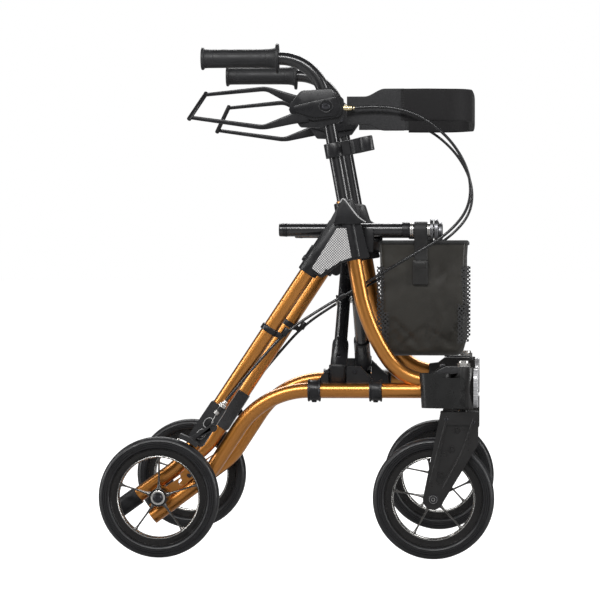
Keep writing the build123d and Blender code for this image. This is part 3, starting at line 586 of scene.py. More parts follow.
SEAL = [(0, 11.9), (0.9, 11.8), (1.3, 11), (1.2, 9.6), (0.2, 9.2)]
SEAL_Y = 16.6  # from the wheel's middle plane
SPOKE_REACH = [13.5, 17, 22, 30, 40, 50, 57, 61, 64, 66.8]
SPOKE_WIDE = [4.6, 3.4, 2.2, 1.7, 1.5, 1.5, 1.6, 1.9, 2.8, 4.6]
SPOKE_DEEP = [6.5, 5.6, 4.4, 3.8, 3.6, 3.6, 3.8, 4.2, 4.8, 5.4]
SPOKE_START = {"rear": 90, "front": 25.0}
AXLE_CAP_Y = {"rear": -299.4, "front": -306.2}


def both_halves(half):
    """A section that is the same on both sides of the wheel's middle plane."""
    return half + [(-t, r) for t, r in reversed(half) if t > 0]


for axle, wheel_x, body in (("rear", 0, "rear_wheel"), ("front", WHEELBASE, "front_wheel")):
    hub = (wheel_x, -TRACK_Y, WHEEL_R)
    tyre_mesh = lathe(hub, OUT, both_halves(TYRE_HALF), 128)
    pair(f"{axle}_tyre_rubber", [tyre_mesh], tyre_look, body, "tyre", f"{axle}_tyre", smooth=50)
    parts = [lathe(hub, OUT, both_halves(RIM_HALF), 128), lathe(hub, OUT, both_halves(HUB_HALF), 64)]
    spokes = []
    for k in range(5):
        turn = radians(SPOKE_START[axle] + 72 * k)
        out = Vector((cos(turn), 0, sin(turn)))
        path = [Vector(hub) + out * r for r in SPOKE_REACH]
        side = (-sin(turn), 0, cos(turn))
        spokes.append(swept(path, list(zip(SPOKE_WIDE, SPOKE_DEEP)), side, power=3, n=16))
    pair(f"{axle}_rim_cast", parts, glossy, body, "rim", f"{axle}_rim", smooth=40)
    pair(f"{axle}_spokes", spokes, spoke_metal, body, "rim", smooth=40)
    lip = [lathe(hub, (0, s, 0), LIP_HALF, 128) for s in (-1, 1)]
    pair(f"{axle}_rim_lips", lip, lip_metal, body, "rim", smooth=50)
    seal = [lathe((wheel_x, -TRACK_Y - s * SEAL_Y, WHEEL_R), (0, -s, 0), SEAL, 48) for s in (-1, 1)]
    pair(f"{axle}_bearing_seals", seal, steel, body, "steel", smooth=40)
    carrier_body = "frame" if axle == "rear" else "caster"
    bolt_y = AXLE_CAP_Y[axle]
    bolt = disc((wheel_x, bolt_y, WHEEL_R), OUT, 6.4, 3.4, 0.8, bore=3, depth=2.6)
    washer = disc((wheel_x, bolt_y + 0.6, WHEEL_R), OUT, 8.4, 1, 0.2)
    pair(f"{axle}_axle_cap", [bolt], dark_steel, carrier_body, "steel")
    pair(f"{axle}_axle_washer", [washer], dark_steel, carrier_body, "steel")

# Grips ------------------------------------------------------------------------
GRIP_PROFILE = [
    (5, 11), (0.6, 11), (0.2, 8), (0, 8), (0, 16.6), (0.6, 18.2), (1.6, 18.8), (3.6, 18.8),
    (4.6, 18.3), (5.2, 16.6), (7, 15.8), (12, 15.6), (60, 15.4), (100, 15.6), (114, 16), (120, 17),
    (123.6, 18.5), (124.2, 23.6), (125, 24.8), (126, 25), (128, 25), (129, 24.4), (129.2, 18.5),
    (129.2, 11),
]
grip_mesh = lathe((67, -FRAME_Y, GRIP_Z), FORWARD, GRIP_PROFILE, 64)
grip_marks = rubber.nodes.new("ShaderNodeSeparateXYZ")
rubber.links.new(rubber.where, grip_marks.inputs[0])


def off_middle(axis, middle, low, high):
    """Rises from 0 to 1 between two distances from the middle of the grip's marked panel."""
    return rubber.band(
        rubber.math("ABSOLUTE", rubber.math("SUBTRACT", grip_marks.outputs[axis], middle), 0), low, high
    )


inside_z = off_middle("Z", GRIP_Z / 1000, 0.0064, 0.0070)
inside_x = off_middle("X", (GRIP_X + REAR_X) / 1000, 0.0420, 0.0430)
edge_z = off_middle("Z", GRIP_Z / 1000, 0.0078, 0.0084)
edge_x = off_middle("X", (GRIP_X + REAR_X) / 1000, 0.0440, 0.0450)
inner = rubber.math("MAXIMUM", inside_z, inside_x)
groove = rubber.math("SUBTRACT", inner, rubber.math("MAXIMUM", edge_z, edge_x))
rubber.bump(groove, 0.5, -0.8)
pair("grip_sleeve", [grip_mesh], rubber, "post", "grip_rubber", "grip", smooth=45)

# Brake levers -----------------------------------------------------------------
CHEEK_OUTER_Y = -259.2
CHEEK_INNER_Y = -226.8
lever_parts = []


def cornered(points, radius, steps=5):
    """A path of straight runs whose corners are rounded."""
    pts = [Vector(p) for p in points]
    out = [pts[0]]
    for before, p, after in zip(pts, pts[1:], pts[2:]):
        start, end = p + (before - p).normalized() * radius, p + (after - p).normalized() * radius
        out += corner_curve(start, p, end, steps)
    return [*out, pts[-1]]


def along(path, stops):
    """Sizes read off (share of the path's length, size) stops."""
    lengths = [0]
    for a, b in zip(path, path[1:]):
        lengths.append(lengths[-1] + (b - a).length)
    sizes = []
    for length in lengths:
        t = length / lengths[-1]
        for (t0, v0), (t1, v1) in zip(stops, stops[1:]):
            if t <= t1 + 1e-9:
                sizes.append(v0 + (v1 - v0) * (t - t0) / (t1 - t0))
                break
    return sizes


for y, arm, heights, thicks in (
    (CHEEK_OUTER_Y, [(244, 732), (222, 726), (172, 711), (50, 728)],
     ((0, 24), (0.15, 17), (0.38, 8.4), (1, 6.4)), ((0, 4.4), (0.38, 5.4), (1, 5.6))),
    (CHEEK_INNER_Y, [(244, 752), (224, 756), (174, 777), (72, 767)],
     ((0, 24), (0.15, 18), (0.40, 8.4), (1, 6)), ((0, 4.4), (0.4, 5.2), (1, 5.2))),
):
    path = cornered([(x, y, z) for x, z in arm], 9)
    sizes = list(zip([t / 2 for t in along(path, thicks)], [h / 2 for h in along(path, heights)]))
    lever_parts.append(swept(path, sizes, power=4, n=20))
CHEEK = [(215, 749), (234, 772), (284, 774), (296, 763), (303, 738), (298, 728), (254, 722), (215, 734)]
CHEEK_RIDGE = [(222, 746), (246, 752), (292, 762), (298, 740), (292, 730), (256, 727), (222, 737)]
bar_ends = (Vector((50, CHEEK_OUTER_Y, 728)), Vector((72, CHEEK_INNER_Y, 767)))
reach = bar_ends[1] - bar_ends[0]
bar_start = bar_ends[0] - reach * 0.10
bar_length = reach.length * 1.2
bar_profile = [(0, 0.01), (0, 2.8), (1, 3.8), (bar_length - 1, 3.8), (bar_length, 2.8), (bar_length, 0.01)]
end_bar = lathe(bar_start, reach, bar_profile, 24, closed=False)
ring_profile = [(0, 12), (1.4, 12), (2, 11.2), (2, 9.4), (1.2, 8.6), (0, 8.6)]
ring_out = lathe((PIVOT[0], CHEEK_OUTER_Y - 4.2, PIVOT[1]), OUT, ring_profile, 48)
cheeks = [slab(rounded(CHEEK, 5), y - 2.2, y + 2.2) for y in (CHEEK_OUTER_Y, CHEEK_INNER_Y)]
cheeks.append(slab(rounded(CHEEK_RIDGE, 4), CHEEK_OUTER_Y - 4.6, CHEEK_OUTER_Y))
pair(
    "lever_loop", [*cheeks, *lever_parts, end_bar, ring_out], lever_look, "lever", "black_plastic",
    "brake_lever", bevel=1.4, smooth=40,
)
bolt = disc((PIVOT[0], CHEEK_OUTER_Y - 4, PIVOT[1]), OUT, 6.2, 3, 0.8, bore=2.6, depth=2.2)
bolt_in = disc((PIVOT[0], CHEEK_INNER_Y + 2, PIVOT[1]), (0, 1, 0), 6, 3, 0.8)
pair("lever_bolts", [bolt, bolt_in], dark_steel, "post", "steel")
ferrule_profile = [
    (0, 4.6), (3, 5), (8, 5), (8.6, 4.4), (14, 4.2), (14.4, 3.4), (18, 3.2), (18, 2.7), (0, 2.7),
]
ferrule = lathe((304, -252.6, 743), FORWARD, ferrule_profile, 32)
pair("cable_ferrule", [ferrule], brass, "post", "steel")

# Cables -----------------------------------------------------------------------
CABLE_R = 2.5
CABLE_ROUTE = [
    (320.3, -252.6, 743), (366, -253, 748), (430, -254, 733), (483, -254, 690), (514, -253, 634),
    (513, -252, 578), (476, -250, 534), (420, -245, 501), (364, -232, 468), (316, -222, 440),
    (262, -228, 409), (207, -243, 372), (160, -253, 320), (118, -259.5, 269), (105.9, -259.5, 253.6),
]


def nurbs_points(name, route, fine=24):
    """The points of the smooth spline whose control points are the route's."""
    curve = bpy.data.curves.new(name, "CURVE")
    curve.dimensions = "3D"
    curve.resolution_u = fine
    line = curve.splines.new("NURBS")
    line.points.add(len(route) - 1)
    for point, place_at in zip(line.points, route):
        point.co = (*at(*place_at), 1)
    line.order_u = 3
    line.use_endpoint_u = True
    obj = linked(name, curve)
    points = [v.co.copy() for v in finished_mesh(obj).vertices]
    bpy.data.objects.remove(obj)
    return points


def side_coordinates(point):
    return Vector((point.x * 1000 - REAR_X, point.y * 1000, point.z * 1000))


cable_line = nurbs_points("cable_line", CABLE_ROUTE)
cable_sizes = [(CABLE_R, CABLE_R)] * len(cable_line)
cable_mesh = swept([side_coordinates(p) for p in cable_line], cable_sizes, side=(0.02, 1, 0.03), n=14)
right_cable = piece("right_cable_run", [cable_mesh], cable_look, smooth=60)
left_cable = mirrored(right_cable, "left_cable_run")
for obj, (side, sign) in zip((right_cable, left_cable), SIDES):
    path = [(p.x, p.y * sign, p.z) for p in cable_line]
    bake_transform(obj)
    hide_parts(f"{side}_brake_cable")

# Side joint: round collars on the leg and the post, a web between them and the cap where they meet -----
LEG_FOOT_X, LEG_FOOT_Z = 33, 152  # where the straight of the rear leg starts
LEG_RUN, LEG_RISE = 251, 381
LEG_UP = Vector((LEG_RUN, 0, LEG_RISE)).normalized()
POST_UP = Vector((-sin(POST_LEAN), 0, cos(POST_LEAN)))
WEB = [
    (302, 594), (320, 592), (330, 560), (347, 496), (322, 492), (300, 487), (268, 462), (236, 478),
    (250, 500),
]
SEAT_FOR_PANEL = [(293, 546), (314, 546), (323, 496), (299, 488), (266, 466), (250, 478)]
CAP = [
    (304, 593), (297, 584), (288, 549), (300, 552), (318, 551), (341, 554), (329, 563), (318.5, 576),
    (311, 586),
]


CAP_FACE_Y = -262.0


def collar(foot, run, length, radius):
    """A moulded collar with rolled ends round a tube."""
    profile = [(0, TUBE_BORE), (0, radius - 1.2), (1.4, radius)]
    profile += [(length - 1.4, radius), (length, radius - 1.2), (length, TUBE_BORE)]
    return lathe(foot, run, profile, 48)


post_foot = Vector((302 - (599 - 495) * POST_UP.x / POST_UP.z, -FRAME_Y, 495))
joint_parts = [
    slab(rounded(WEB, 4), -256.2, -229.8),
    slab(rounded(SEAT_FOR_PANEL, 2), -258.4, -250),
    collar(Vector((242.5, -FRAME_Y, 470)), LEG_UP, 96, 16.6),
    collar(post_foot, POST_UP, 94, 17),
    slab(rounded(CAP, 1.5), CAP_FACE_Y, -226.5),
]
cradle = [(-227, 505), (-227, 545), (-222, 545), (-222, 530), (-194, 530), (-194, 524)]
cradle_ends = [[Vector((x, y, z)) for y, z in cradle] for x in (334.5, 352)]
joint_parts.append(rings_mesh(cradle_ends))
pair("joint_body", joint_parts, plastic, "frame", "black_plastic", "side_joint", bevel=1.2, smooth=40)
# A thin light-grey strip along the cap's edge: a painted highlight where the black plastic edge catches the
# light.
CAP_EDGE = [(298, 586), (304, 593), (311, 586), (318.5, 576), (329, 563), (341, 554.5)]
cap_edge = spline([(x, CAP_FACE_Y - 0.2, z) for x, z in CAP_EDGE], 8)
edge_mesh = swept(cap_edge, [(1, 1.1)] * len(cap_edge), n=10)
pair("joint_cap_highlight", [edge_mesh], highlight_edge_look, "frame", "black_plastic", smooth=60)

# Small fittings on the frame --------------------------------------------------
LEG_OUT = Vector((LEG_UP.z, 0, -LEG_UP.x))


def on_leg(z, y=-FRAME_Y, off=0):
    """A point on the rear leg's axis at a height, moved off it square to the leg."""
    x = LEG_FOOT_X + (z - LEG_FOOT_Z) * LEG_RUN / LEG_RISE
    return Vector((x, y, z)) + LEG_OUT * off


fittings = []
# Ring and clip that hold the cable to the leg
leg_ring = [(0, TUBE_BORE), (0, 14.6), (0.8, 15.4), (9.2, 15.4), (10, 14.6), (10, TUBE_BORE)]
fittings.append(lathe(on_leg(372), LEG_UP, leg_ring, 40))
fittings.append(block(on_leg(377, -FRAME_Y - 4, 17), LEG_OUT, LEG_UP, (12, 8, 9)))
leg_clip = [(-7, CABLE_BORE), (-7, 5.2), (7, 5.2), (7, CABLE_BORE)]
fittings.append(lathe((207, -243, 372.5), LEG_UP, leg_clip, 24))
# Knob on the rear edge of the leg's collar
fittings.append(disc(on_leg(486, -FRAME_Y, -13), -LEG_OUT, 5.5, 7, 1.2, 24))
fittings.append(block(on_leg(498, -FRAME_Y, -15), LEG_OUT, LEG_UP, (7, 12, 22)))
# Clip round the cable by the struts
strut_clip = [(-6, CABLE_BORE), (-6, 4.8), (6, 4.8), (6, CABLE_BORE)]
fittings.append(lathe((300, -223.5, 431.5), (0.84, 0, 0.5), strut_clip, 24))
pair("frame_clips", fittings, clip_look, "frame", "black_plastic", bevel=0.8)

screws = []
for x in (255, 357):
    screws.append(disc((x, -FRAME_Y, 261), (0, 0, -1), 4.2, 5.2, 0.8, 24, bore=1.8, depth=2))
for x in (276, 322):
    screws.append(disc((x, -230.4, 306), OUT, 3.4, 1.8, 0.5, 24, bore=1.5, depth=1.2))
screws.append(disc((313, -260, 578), OUT, 4, 1.6, 0.5, 24, bore=1.8, depth=1.2))
screws.append(disc((276, -260, 474.5), OUT, 2.6, 1.2, 0.4, 24, bore=1.1, depth=0.9))
pair("frame_screws", screws, dark_steel, "frame", "steel")

# Brake carrier: the cable's adjuster and inner wire, and two windows with raised rims
GUIDE = Vector((0.62, 0, 0.785))
foot = Vector((96, -259.5, 241))
adjuster = [
    lathe(foot + GUIDE * 9.5, GUIDE, [(0, 4.3), (0, 6.2), (1, 6.8), (5, 6.8), (6, 6.2), (6, 4.3)], 6),
    lathe(foot + GUIDE * 16, GUIDE, [(0, 2.6), (0, 4.4), (5, 4.2), (6, 3.6), (6, 2.6)], 24),
    lathe(foot - GUIDE * 6, GUIDE, [(0, 1), (0, 4.4), (6, 4.4), (6, 1)], 24),
]
wire_path = spline([(92, -259.5, 235), (86, -261, 222), (79, -263.5, 208), (70, -266, 199)], 5)
adjuster.append(swept(wire_path, [(0.9, 0.9)] * len(wire_path), n=8))
pair("brake_adjuster", adjuster, steel, "frame", "steel", smooth=40)
windows, window_rim_highlights = [], []
for cx, cz in ((68, 203), (80, 222)):
    outline = [
        (cx + 9 * cos(t) * 0.55 + 9 * sin(t) * 0.55, cz + 9 * sin(t) * 0.8 - 9 * cos(t) * 0.3)
        for t in circle(20)
    ]
    windows.append(slab(outline, -259.9, -258))
    turns = [2 * pi * k / 28 for k in range(29)]
    rim = [(cx + 6.2 * cos(t) + 5 * sin(t), cz + 7.6 * sin(t) - 3 * cos(t)) for t in turns]
    rim_path = [Vector((x, -260.2, z)) for x, z in rim]
    window_rim_highlights.append(swept(rim_path, [(0.7, 0.7)] * len(rim_path), n=8))
pair("carrier_windows", windows, clip_look, "frame", "black_plastic", bevel=0.5)
# The window rims take the light grey of a painted highlight, for the light caught on their raised edges.
pair("window_rim_highlights", window_rim_highlights, highlight_edge_look, "frame", "black_plastic", smooth=60)

# Caster: top cap, knob, fork ribs and screws -----------------------------------------------------------
cap = rounded([(452, 305), (462, 312), (474, 317.5), (512, 317.5), (514, 309), (452, 300)], 3)
caster_top = [slab(cap, -296, -264), disc((468, -280, 315), UP, 5, 6.5, 1.4, 24)]
pair("caster_top", caster_top, carrier_look, "frame", "black_plastic", bevel=1)
fork_bits = []
for pts in ([(477, 236), (462, 180), (449, 128)], [(520, 232), (500, 176), (470, 118)]):
    path = spline([(x, -305.2, z) for x, z in pts], 8)
    fork_bits.append(swept(path, [(1.6, 2.2)] * len(path), power=2.4, n=12))
for x, z in ((492, 214), (484, 183), (466, 140)):
    fork_bits.append(lathe((x, -303.8, z), OUT, [(0, 3), (0, 5), (1.6, 4.6), (1.6, 3.4)], 24))
pair("fork_ribs", fork_bits, fork_look, "caster", "black_plastic", smooth=45)
fork_screws = [
    disc((x, -305.6, z), OUT, 3.2, 1.4, 0.5, 20, bore=1.4, depth=1)
    for x, z in ((475, 231), (519, 226))
]
pair("fork_screws", fork_screws, dark_steel, "caster", "steel")

# Lower hinge brackets: the rounded sockets in front of the struts' feet, and the ribs on the clamps
STRUT_X = {"right": 293, "left": 318.0}
for side, sign in SIDES:
    x = STRUT_X[side]
    sizes = [(12.6, 4.2), (13.6, 5.4), (13.6, 5.4), (14.2, 5.8), (14.2, 5.8), (13.2, 5.2)]
    socket_path = [Vector((x, -230.8 * sign, z)) for z in (285.5, 287, 309, 310, 317, 318)]
    socket_mesh = swept(socket_path, sizes, side=FORWARD, n=28)
    socket = piece(f"{side}_hinge_socket", [socket_mesh], plastic, smooth=40)
    place(socket, f"{side}_frame", "black_plastic")
LOWER_Z = 275.5
rib_profile = [(0, 16.5), (0, 18), (0.7, 18.6), (2.3, 18.6), (3, 18), (3, 16.5)]
ribs = [lathe((x, -FRAME_Y, LOWER_Z), FORWARD, rib_profile, 40) for x in (244.6, 262.6, 346.6, 364.6)]
pair("clamp_ribs", ribs, plastic, "frame", "black_plastic", smooth=40)

# Moulded feet of the cross struts, from the lower hinge up the tube
HINGE_Z = 302.0
FOOT_PROFILE = [  # distance up the strut from its pin, radius
    (-13.4, 6), (-12, 9.8), (-8, 12.6), (0, 14.1), (22, 14.1), (26, 14.3), (44, 14.3), (47, 14), (86, 12.9),
    (90, 13.6), (95, 13.6), (96, 12.6),
]
STRUT_LEAN = atan2(SEAT_BAR_Z - HINGE_Z, 2 * FOLD_Y)
for side, sign in SIDES:
    up = Vector((0, cos(STRUT_LEAN) * sign, sin(STRUT_LEAN)))
    pivot = Vector((STRUT_X[side], -FOLD_Y * sign, HINGE_Z))
    rings = []
    for along_strut, radius in FOOT_PROFILE:
        section = superellipse(FORWARD, up.cross(FORWARD), radius, radius, 2.3, 32)
        rings.append([pivot + up * along_strut + offset for offset in section])
    foot = piece(f"{side}_strut_foot", [rings_mesh(rings)], plastic, smooth=40)
    place(foot, f"{side}_strut", "black_plastic")
    face = Vector((0, -sin(STRUT_LEAN) * sign, cos(STRUT_LEAN)))
    out = -face if face.y * sign > 0 else face
    screw_mesh = disc(pivot + up * 33 + out * 13.6, out, 4.2, 1.8, 0.5, 24, bore=1.8, depth=1.4)
    screw = piece(f"{side}_strut_screw", [screw_mesh], dark_steel)
    place(screw, f"{side}_strut", "steel")

# Seat bars: end plugs, sleeve, washers and discs -------------------------------------------------------
PLUG = [(0, 0.01), (0, 9), (0.8, 10.6), (13.4, 11.5), (14, BAR_BORE), (14, 0.01)]
SLEEVE = [(0, BAR_BORE), (0, 12.6), (1, 13), (12, 13), (13, 12.4), (13, BAR_BORE)]
WASHERS = [(0, BAR_BORE), (0, 12.2), (2, 12.2), (2.4, 11.3), (3, 12.2)]  # two, all but the far face


def on_bar(x, profile, n=40, closed=True):
    """A turned form along the right-hand seat bar, starting at x."""
    return lathe((x, -FOLD_Y, SEAT_BAR_Z), FORWARD, profile, n, closed)


plugs = [
    on_bar(194.2, PLUG, closed=False),
    on_bar(400, SLEEVE),
    disc((459, -FOLD_Y, SEAT_BAR_Z), FORWARD, 14.5, 2, 0.8, 40),
]
pair("bar_fittings", plugs, clip_look, "seat_bar", "black_plastic", smooth=40)
bright = [
    on_bar(413.2, WASHERS + [(5, 12.2), (5.2, BAR_BORE)]),
    on_bar(441.5, WASHERS + [(4.8, 12.2), (5, BAR_BORE)]),
]
pair("bar_washers", bright, steel, "seat_bar", "steel", smooth=40)
discs = [
    on_bar(x, [(0, 11.1), (0, 17.3), (0.7, 18), (w - 0.7, 18), (w, 17.3), (w, 11.1)], 48)
    for x, w in ((446.4, 5.2), (453.4, 6.2))
]
disc_look = metal("disc_grey", (0.20, 0.20, 0.21), 0.38)
pair("bar_discs", discs, disc_look, "seat_bar", "steel", smooth=40)

# Seat sling -------------------------------------------------------------------
SEAT_X = (212, 402)
SEAT_TOP_Z, SEAT_DIP, SEAT_HALF = 545, 9, 196.0
NOTCH_X, NOTCH_HALF = (275, 336), 155.0
HEM_WIDTH = 8.0


def seat_limit(x):
    """Half the sling's width: it's notched round the struts' collars."""
    return NOTCH_HALF if NOTCH_X[0] < x < NOTCH_X[1] else SEAT_HALF


SEAT_LENGTH = SEAT_X[1] - SEAT_X[0]
notch_edges = [x + step for x in NOTCH_X for step in (-0.1, 0.1)]
cols = sorted({*(SEAT_X[0] + SEAT_LENGTH * i / 38 for i in range(39)), *notch_edges})
seat_rows = 60
points, faces = [], []
for x in cols:
    for j in range(seat_rows + 1):
        v = 2 * j / seat_rows - 1
        y = v * seat_limit(x)
        z = SEAT_TOP_Z - SEAT_DIP * (1 - (y / SEAT_HALF) ** 2)
        z += 0.8 * noise.noise(Vector((x * 0.02, y * 0.012, 3.1))) * (1 - v**8)
        if not SEAT_X[0] + HEM_WIDTH < x < SEAT_X[1] - HEM_WIDTH:
            z += 0.8
        points.append((x, y, z))
for i in range(len(cols) - 1):
    for j in range(seat_rows):
        a = i * (seat_rows + 1) + j
        faces.append((a, a + seat_rows + 1, a + seat_rows + 2, a + 1))
seat = piece("seat_cloth", [new_mesh("seat", points, faces)], seat_look, thick=2.4, smooth=60)
place(seat, "right_seat_bar", "seat_fabric", "seat_sling")
hem_parts = []
for x in (214.5, 399.5):
    widths = [-195 + 390 * k / 40 for k in range(41)]
    path = [Vector((x, y, SEAT_TOP_Z - SEAT_DIP * (1 - (y / SEAT_HALF) ** 2) + 0.8)) for y in widths]
    hem_parts.append(swept(path, [(4.5, 2.1)] * len(path), side=FORWARD, power=2.6, n=12))
hems = piece("seat_hems", hem_parts, web_look, smooth=60)
place(hems, "right_seat_bar", "seat_fabric")
for obj in (seat, hems):
    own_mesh(obj)


# Front bag --------------------------------------------------------------------
def bag_ring(z, half_y, x0, x1, corner, n_side=60, n_end=26):
    """A rounded-rectangle ring of the bag at a height."""
    corners = ((1, -1), (1, 1), (-1, 1), (-1, -1))

    def on_corner(q, turn):
        sx, sy = corners[q % 4]
        middle_x = (x0 + x1) / 2 + sx * ((x1 - x0) / 2 - corner)
        return middle_x + corner * cos(turn), sy * (half_y - corner) + corner * sin(turn)

    ring = []
    for q in range(4):
        start = -pi / 2 + q * pi / 2
        ring += [on_corner(q, start + k / 4 * pi / 2) for k in range(5)]
        a, b = on_corner(q, start + pi / 2), on_corner(q + 1, start + pi / 2)
        count = n_side if q % 2 == 0 else n_end
        for k in range(1, count):
            ring.append((a[0] + (b[0] - a[0]) * k / count, a[1] + (b[1] - a[1]) * k / count))
    return [Vector((x, y, z)) for x, y in ring]


BAG_LEVELS = [
    # height, half width, rear x, front x, corner radius
    (524, 203, 362, 506, 7), (519, 203.3, 361.6, 506.4, 7), (512, 203, 362, 506, 7),
    (498, 203, 362.5, 505, 7), (480, 203, 363, 505, 8), (460, 203, 363.5, 505, 8),
    (440, 203.5, 364, 505, 8), (420, 204, 364, 505.5, 9), (400, 204, 364, 506, 9),
    (385, 203, 364.5, 506, 10), (370, 200.5, 365, 505.5, 10), (357, 196.5, 366, 505, 10),
    (346, 191.5, 367.5, 503.5, 10), (338, 186.5, 369.5, 501, 10), (333.5, 182, 373, 497, 10),
    (331.5, 174, 380, 490, 10), (331.5, 120, 400, 470, 10),
]


def bag_sag(p):
    """Soft folds: broad dents up high and sharper diagonal creases towards the bottom."""
    depth = min(max((513 - p.z) / 50, 0), 1) * min(max((p.z - 331) / 25, 0.25), 1)
    low = min(max((450 - p.z) / 70, 0.15), 1)
    broad = noise.noise(Vector((p.x * 0.013, p.y * 0.010, p.z * 0.012)) + Vector((5.1, 0.7, 2.3)))
    lean = Vector(((p.x + 0.8 * p.z) * 0.030, (p.x - p.z) * 0.009, p.y * 0.012))
    crease = 1 - min(abs(noise.noise(lean + Vector((1.3, 0, 0)))) * 5, 1)
    back = Vector(((p.x - 1.1 * p.z) * 0.024, (p.x + p.z) * 0.008, p.y * 0.012 + 9))
    cross = 1 - min(abs(noise.noise(back)) * 6, 1)
    out = Vector((0, 0, 0))
    if abs(p.y) > 160:
        out.y = -1 if p.y < 0 else 1
    else:
        out.x = 1 if p.x > 435 else -1
    return p - out * depth * max(0, 3.2 + 10.5 * broad + (4.6 * crease**2 + 3.6 * cross**2) * low)


def between(levels, gap):
    """More levels, so that no two are further apart than gap."""
    out = [levels[0]]
    for a, b in zip(levels, levels[1:]):
        steps = max(1, round(abs(a[0] - b[0]) / gap))
        out += [tuple(u + (v - u) * k / steps for u, v in zip(a, b)) for k in range(1, steps + 1)]
    return out


bag_rings = [[bag_sag(p) for p in bag_ring(*level)] for level in between(BAG_LEVELS, 4.5)]
inner_rings = []
for ring in bag_rings[::-1]:
    middle = sum(ring, Vector((0, 0, 0))) / len(ring)
    shrunk = []
    for p in ring:
        q = p.copy()
        q.x -= 2.4 * max(-1, min(1, (p.x - middle.x) / 20))
        q.y -= 2.4 * max(-1, min(1, (p.y - middle.y) / 20))
        q.z += 2.4 if p.z < 345 else 0
        shrunk.append(q)
    inner_rings.append(shrunk)
bag_mesh = rings_mesh(bag_rings[::-1] + inner_rings[::-1])
bag = piece("bag_shell", [bag_mesh], bag_look, smooth=70)
place(bag, "right_seat_bar", "bag_fabric", "front_bag")

bag_group = [bag]
# Hem at the mouth, and the mesh strips down the corners of each end panel
hem_line = bag_ring(521.5, 203.6, 361.4, 507.8, 9)
hem_rings = []
for i, p in enumerate(hem_line):
    outward = (hem_line[(i + 1) % len(hem_line)] - hem_line[i - 1]).cross(UP).normalized()
    hem_rings.append([p + o for o in superellipse(outward, UP, 1.5, 3.4, 3, 10)])
hem = piece("bag_hem", [rings_mesh(hem_rings, loop=True)], web_look, smooth=60)
bag_group.append(hem)
strips = []
for s in (-1, 1):
    for x0, x1 in ((492, 511), (357.5, 377)):
        outline = [(x0, 352), (x1, 356), (x1, 481), (x0, 481)]
        strips.append(slab(outline, s * 201.6, s * 202.8))
bag_group.append(piece("bag_mesh_edges", strips, mesh_look, smooth=60))

# Webbing loops over the seat bars, down to a buckle on each end of the bag
LOOP_X, LOOP_R = 431, 12.9
loop = [Vector((LOOP_X, -FOLD_Y + 13.4, 516)), Vector((LOOP_X, -FOLD_Y + 13.3, 540))]
for k in range(12, -1, -1):
    t = pi * k / 12
    loop.append(Vector((LOOP_X, -FOLD_Y - LOOP_R * cos(t), SEAT_BAR_Z + LOOP_R * sin(t))))
for y, z in ((-9.5, 526), (1.5, 514), (3.2, 500), (3.4, 492)):
    loop.append(Vector((LOOP_X, -FOLD_Y + y, z)))
loop_mesh = swept(loop, [(11, 0.9)] * len(loop), side=FORWARD, power=5, n=12)
pair("bag_strap", [loop_mesh], web_look, "seat_bar", "bag_fabric", smooth=60)
buckle = [
    slab(rounded([(417, 491), (443, 491), (443, 451), (417, 451)], 3), -205.9, -203.5),
    slab(rounded([(420, 488), (440, 488), (440, 478), (420, 478)], 2), -206.6, -203.5),
]
pair("bag_buckle", buckle, patch_look, "seat_bar", "bag_fabric", bevel=0.8)
for obj in bag_group[1:]:
    place(obj, "right_seat_bar", "bag_fabric")
for obj in bag_group:
    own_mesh(obj)

# Back strap -------------------------------------------------------------------
STRAP_Y = 236.0
STRAP_FRONT = 513.0
STRAP_TURN = 46.0


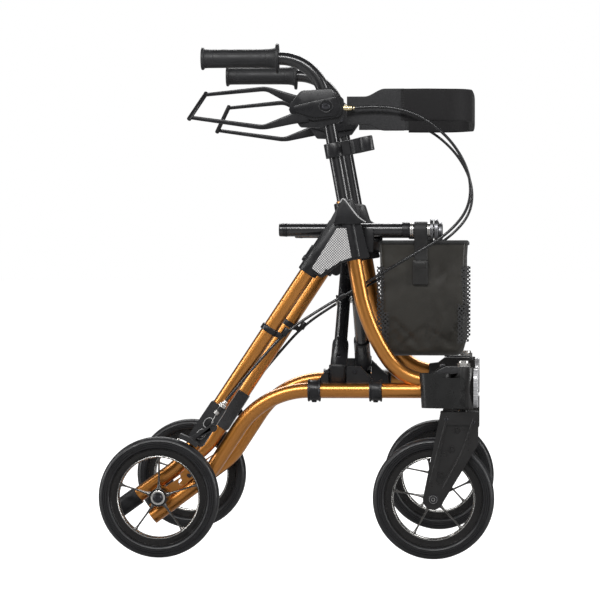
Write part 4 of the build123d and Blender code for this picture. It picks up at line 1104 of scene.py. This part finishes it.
def strap_line(x_from, count_side=14, count_turn=16, count_front=13):
    """The strap's middle line seen from above, from the right side round the front to the left."""
    corner = Vector((STRAP_FRONT - STRAP_TURN, -STRAP_Y + 3 + STRAP_TURN, 0))
    side_end = Vector((corner.x, -STRAP_Y + 3, 0))
    start = Vector((x_from, -STRAP_Y, 0))
    pts = [start.lerp(side_end, k / count_side) for k in range(count_side)]
    for k in range(count_turn):
        t = -pi / 2 + k / count_turn * pi / 2
        pts.append(corner + Vector((cos(t), sin(t), 0)) * STRAP_TURN)
    y0 = corner.y
    widths = [y0 + (0 - y0) * k / count_front for k in range(count_front + 1)]
    pts += [Vector((STRAP_FRONT + 2.5 * (1 - (y / y0) ** 2), y, 0)) for y in widths]
    return pts + [Vector((p.x, -p.y, 0)) for p in reversed(pts[:-1])]


def strap_band(line, low, high, half_thick, n=24, power=3.2):
    """A band that follows a line, between two heights at each point."""
    rings = []
    for i, p in enumerate(line):
        run = (line[min(i + 1, len(line) - 1)] - line[max(i - 1, 0)]).normalized()
        middle = Vector((p.x, p.y, (low[i] + high[i]) / 2))
        section = superellipse(run.cross(UP), UP, half_thick, (high[i] - low[i]) / 2, power, n)
        rings.append([middle + o for o in section])
    return rings_mesh(rings)


line = strap_line(399)
wobble = [0.6 * noise.noise(Vector((i * 0.09, 4.2, 0))) for i in range(len(line))]
band_mesh = strap_band(line, [722 + w for w in wobble], [776 + w for w in wobble], 4.2, power=8)
band = piece("strap_band", [band_mesh], band_look, smooth=70)
place(band, "right_post", "strap_foam", "back_strap")
tongues = []
for s in (1, -1):
    xs = [309 + 95 * k / 30 for k in range(31)]
    low, high = [], []
    for x in xs:
        f = min(max((x - 338) / 34, 0), 1)
        f = f * f * (3 - 2 * f)
        low.append(716 - 10 * f if s > 0 else 727 - f)
        high.append(763 + 13 * f)
    tongue_line = [Vector((x, -s * (STRAP_Y + 0.2), 0)) for x in xs]
    tongues.append(strap_band(tongue_line, low, high, 3.3, power=5))
tongue = piece("strap_tongues", tongues, felt, smooth=70)
place(tongue, "right_post", "strap_foam")
seam_parts = []
for s in (1, -1):
    for x in (400.5, 403.5):
        for k in range(13):
            z = 725 + k * 4.0
            seam_parts.append(block((x, -s * (STRAP_Y + 4.1), z), (0, 0, 1), (0, 1, 0), (2.6, 0.7, 0.7)))
seams = piece("strap_stitches", seam_parts, web_look, bevel=0.2)
place(seams, "right_post", "strap_foam")
for obj in (band, tongue, seams):
    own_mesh(obj)
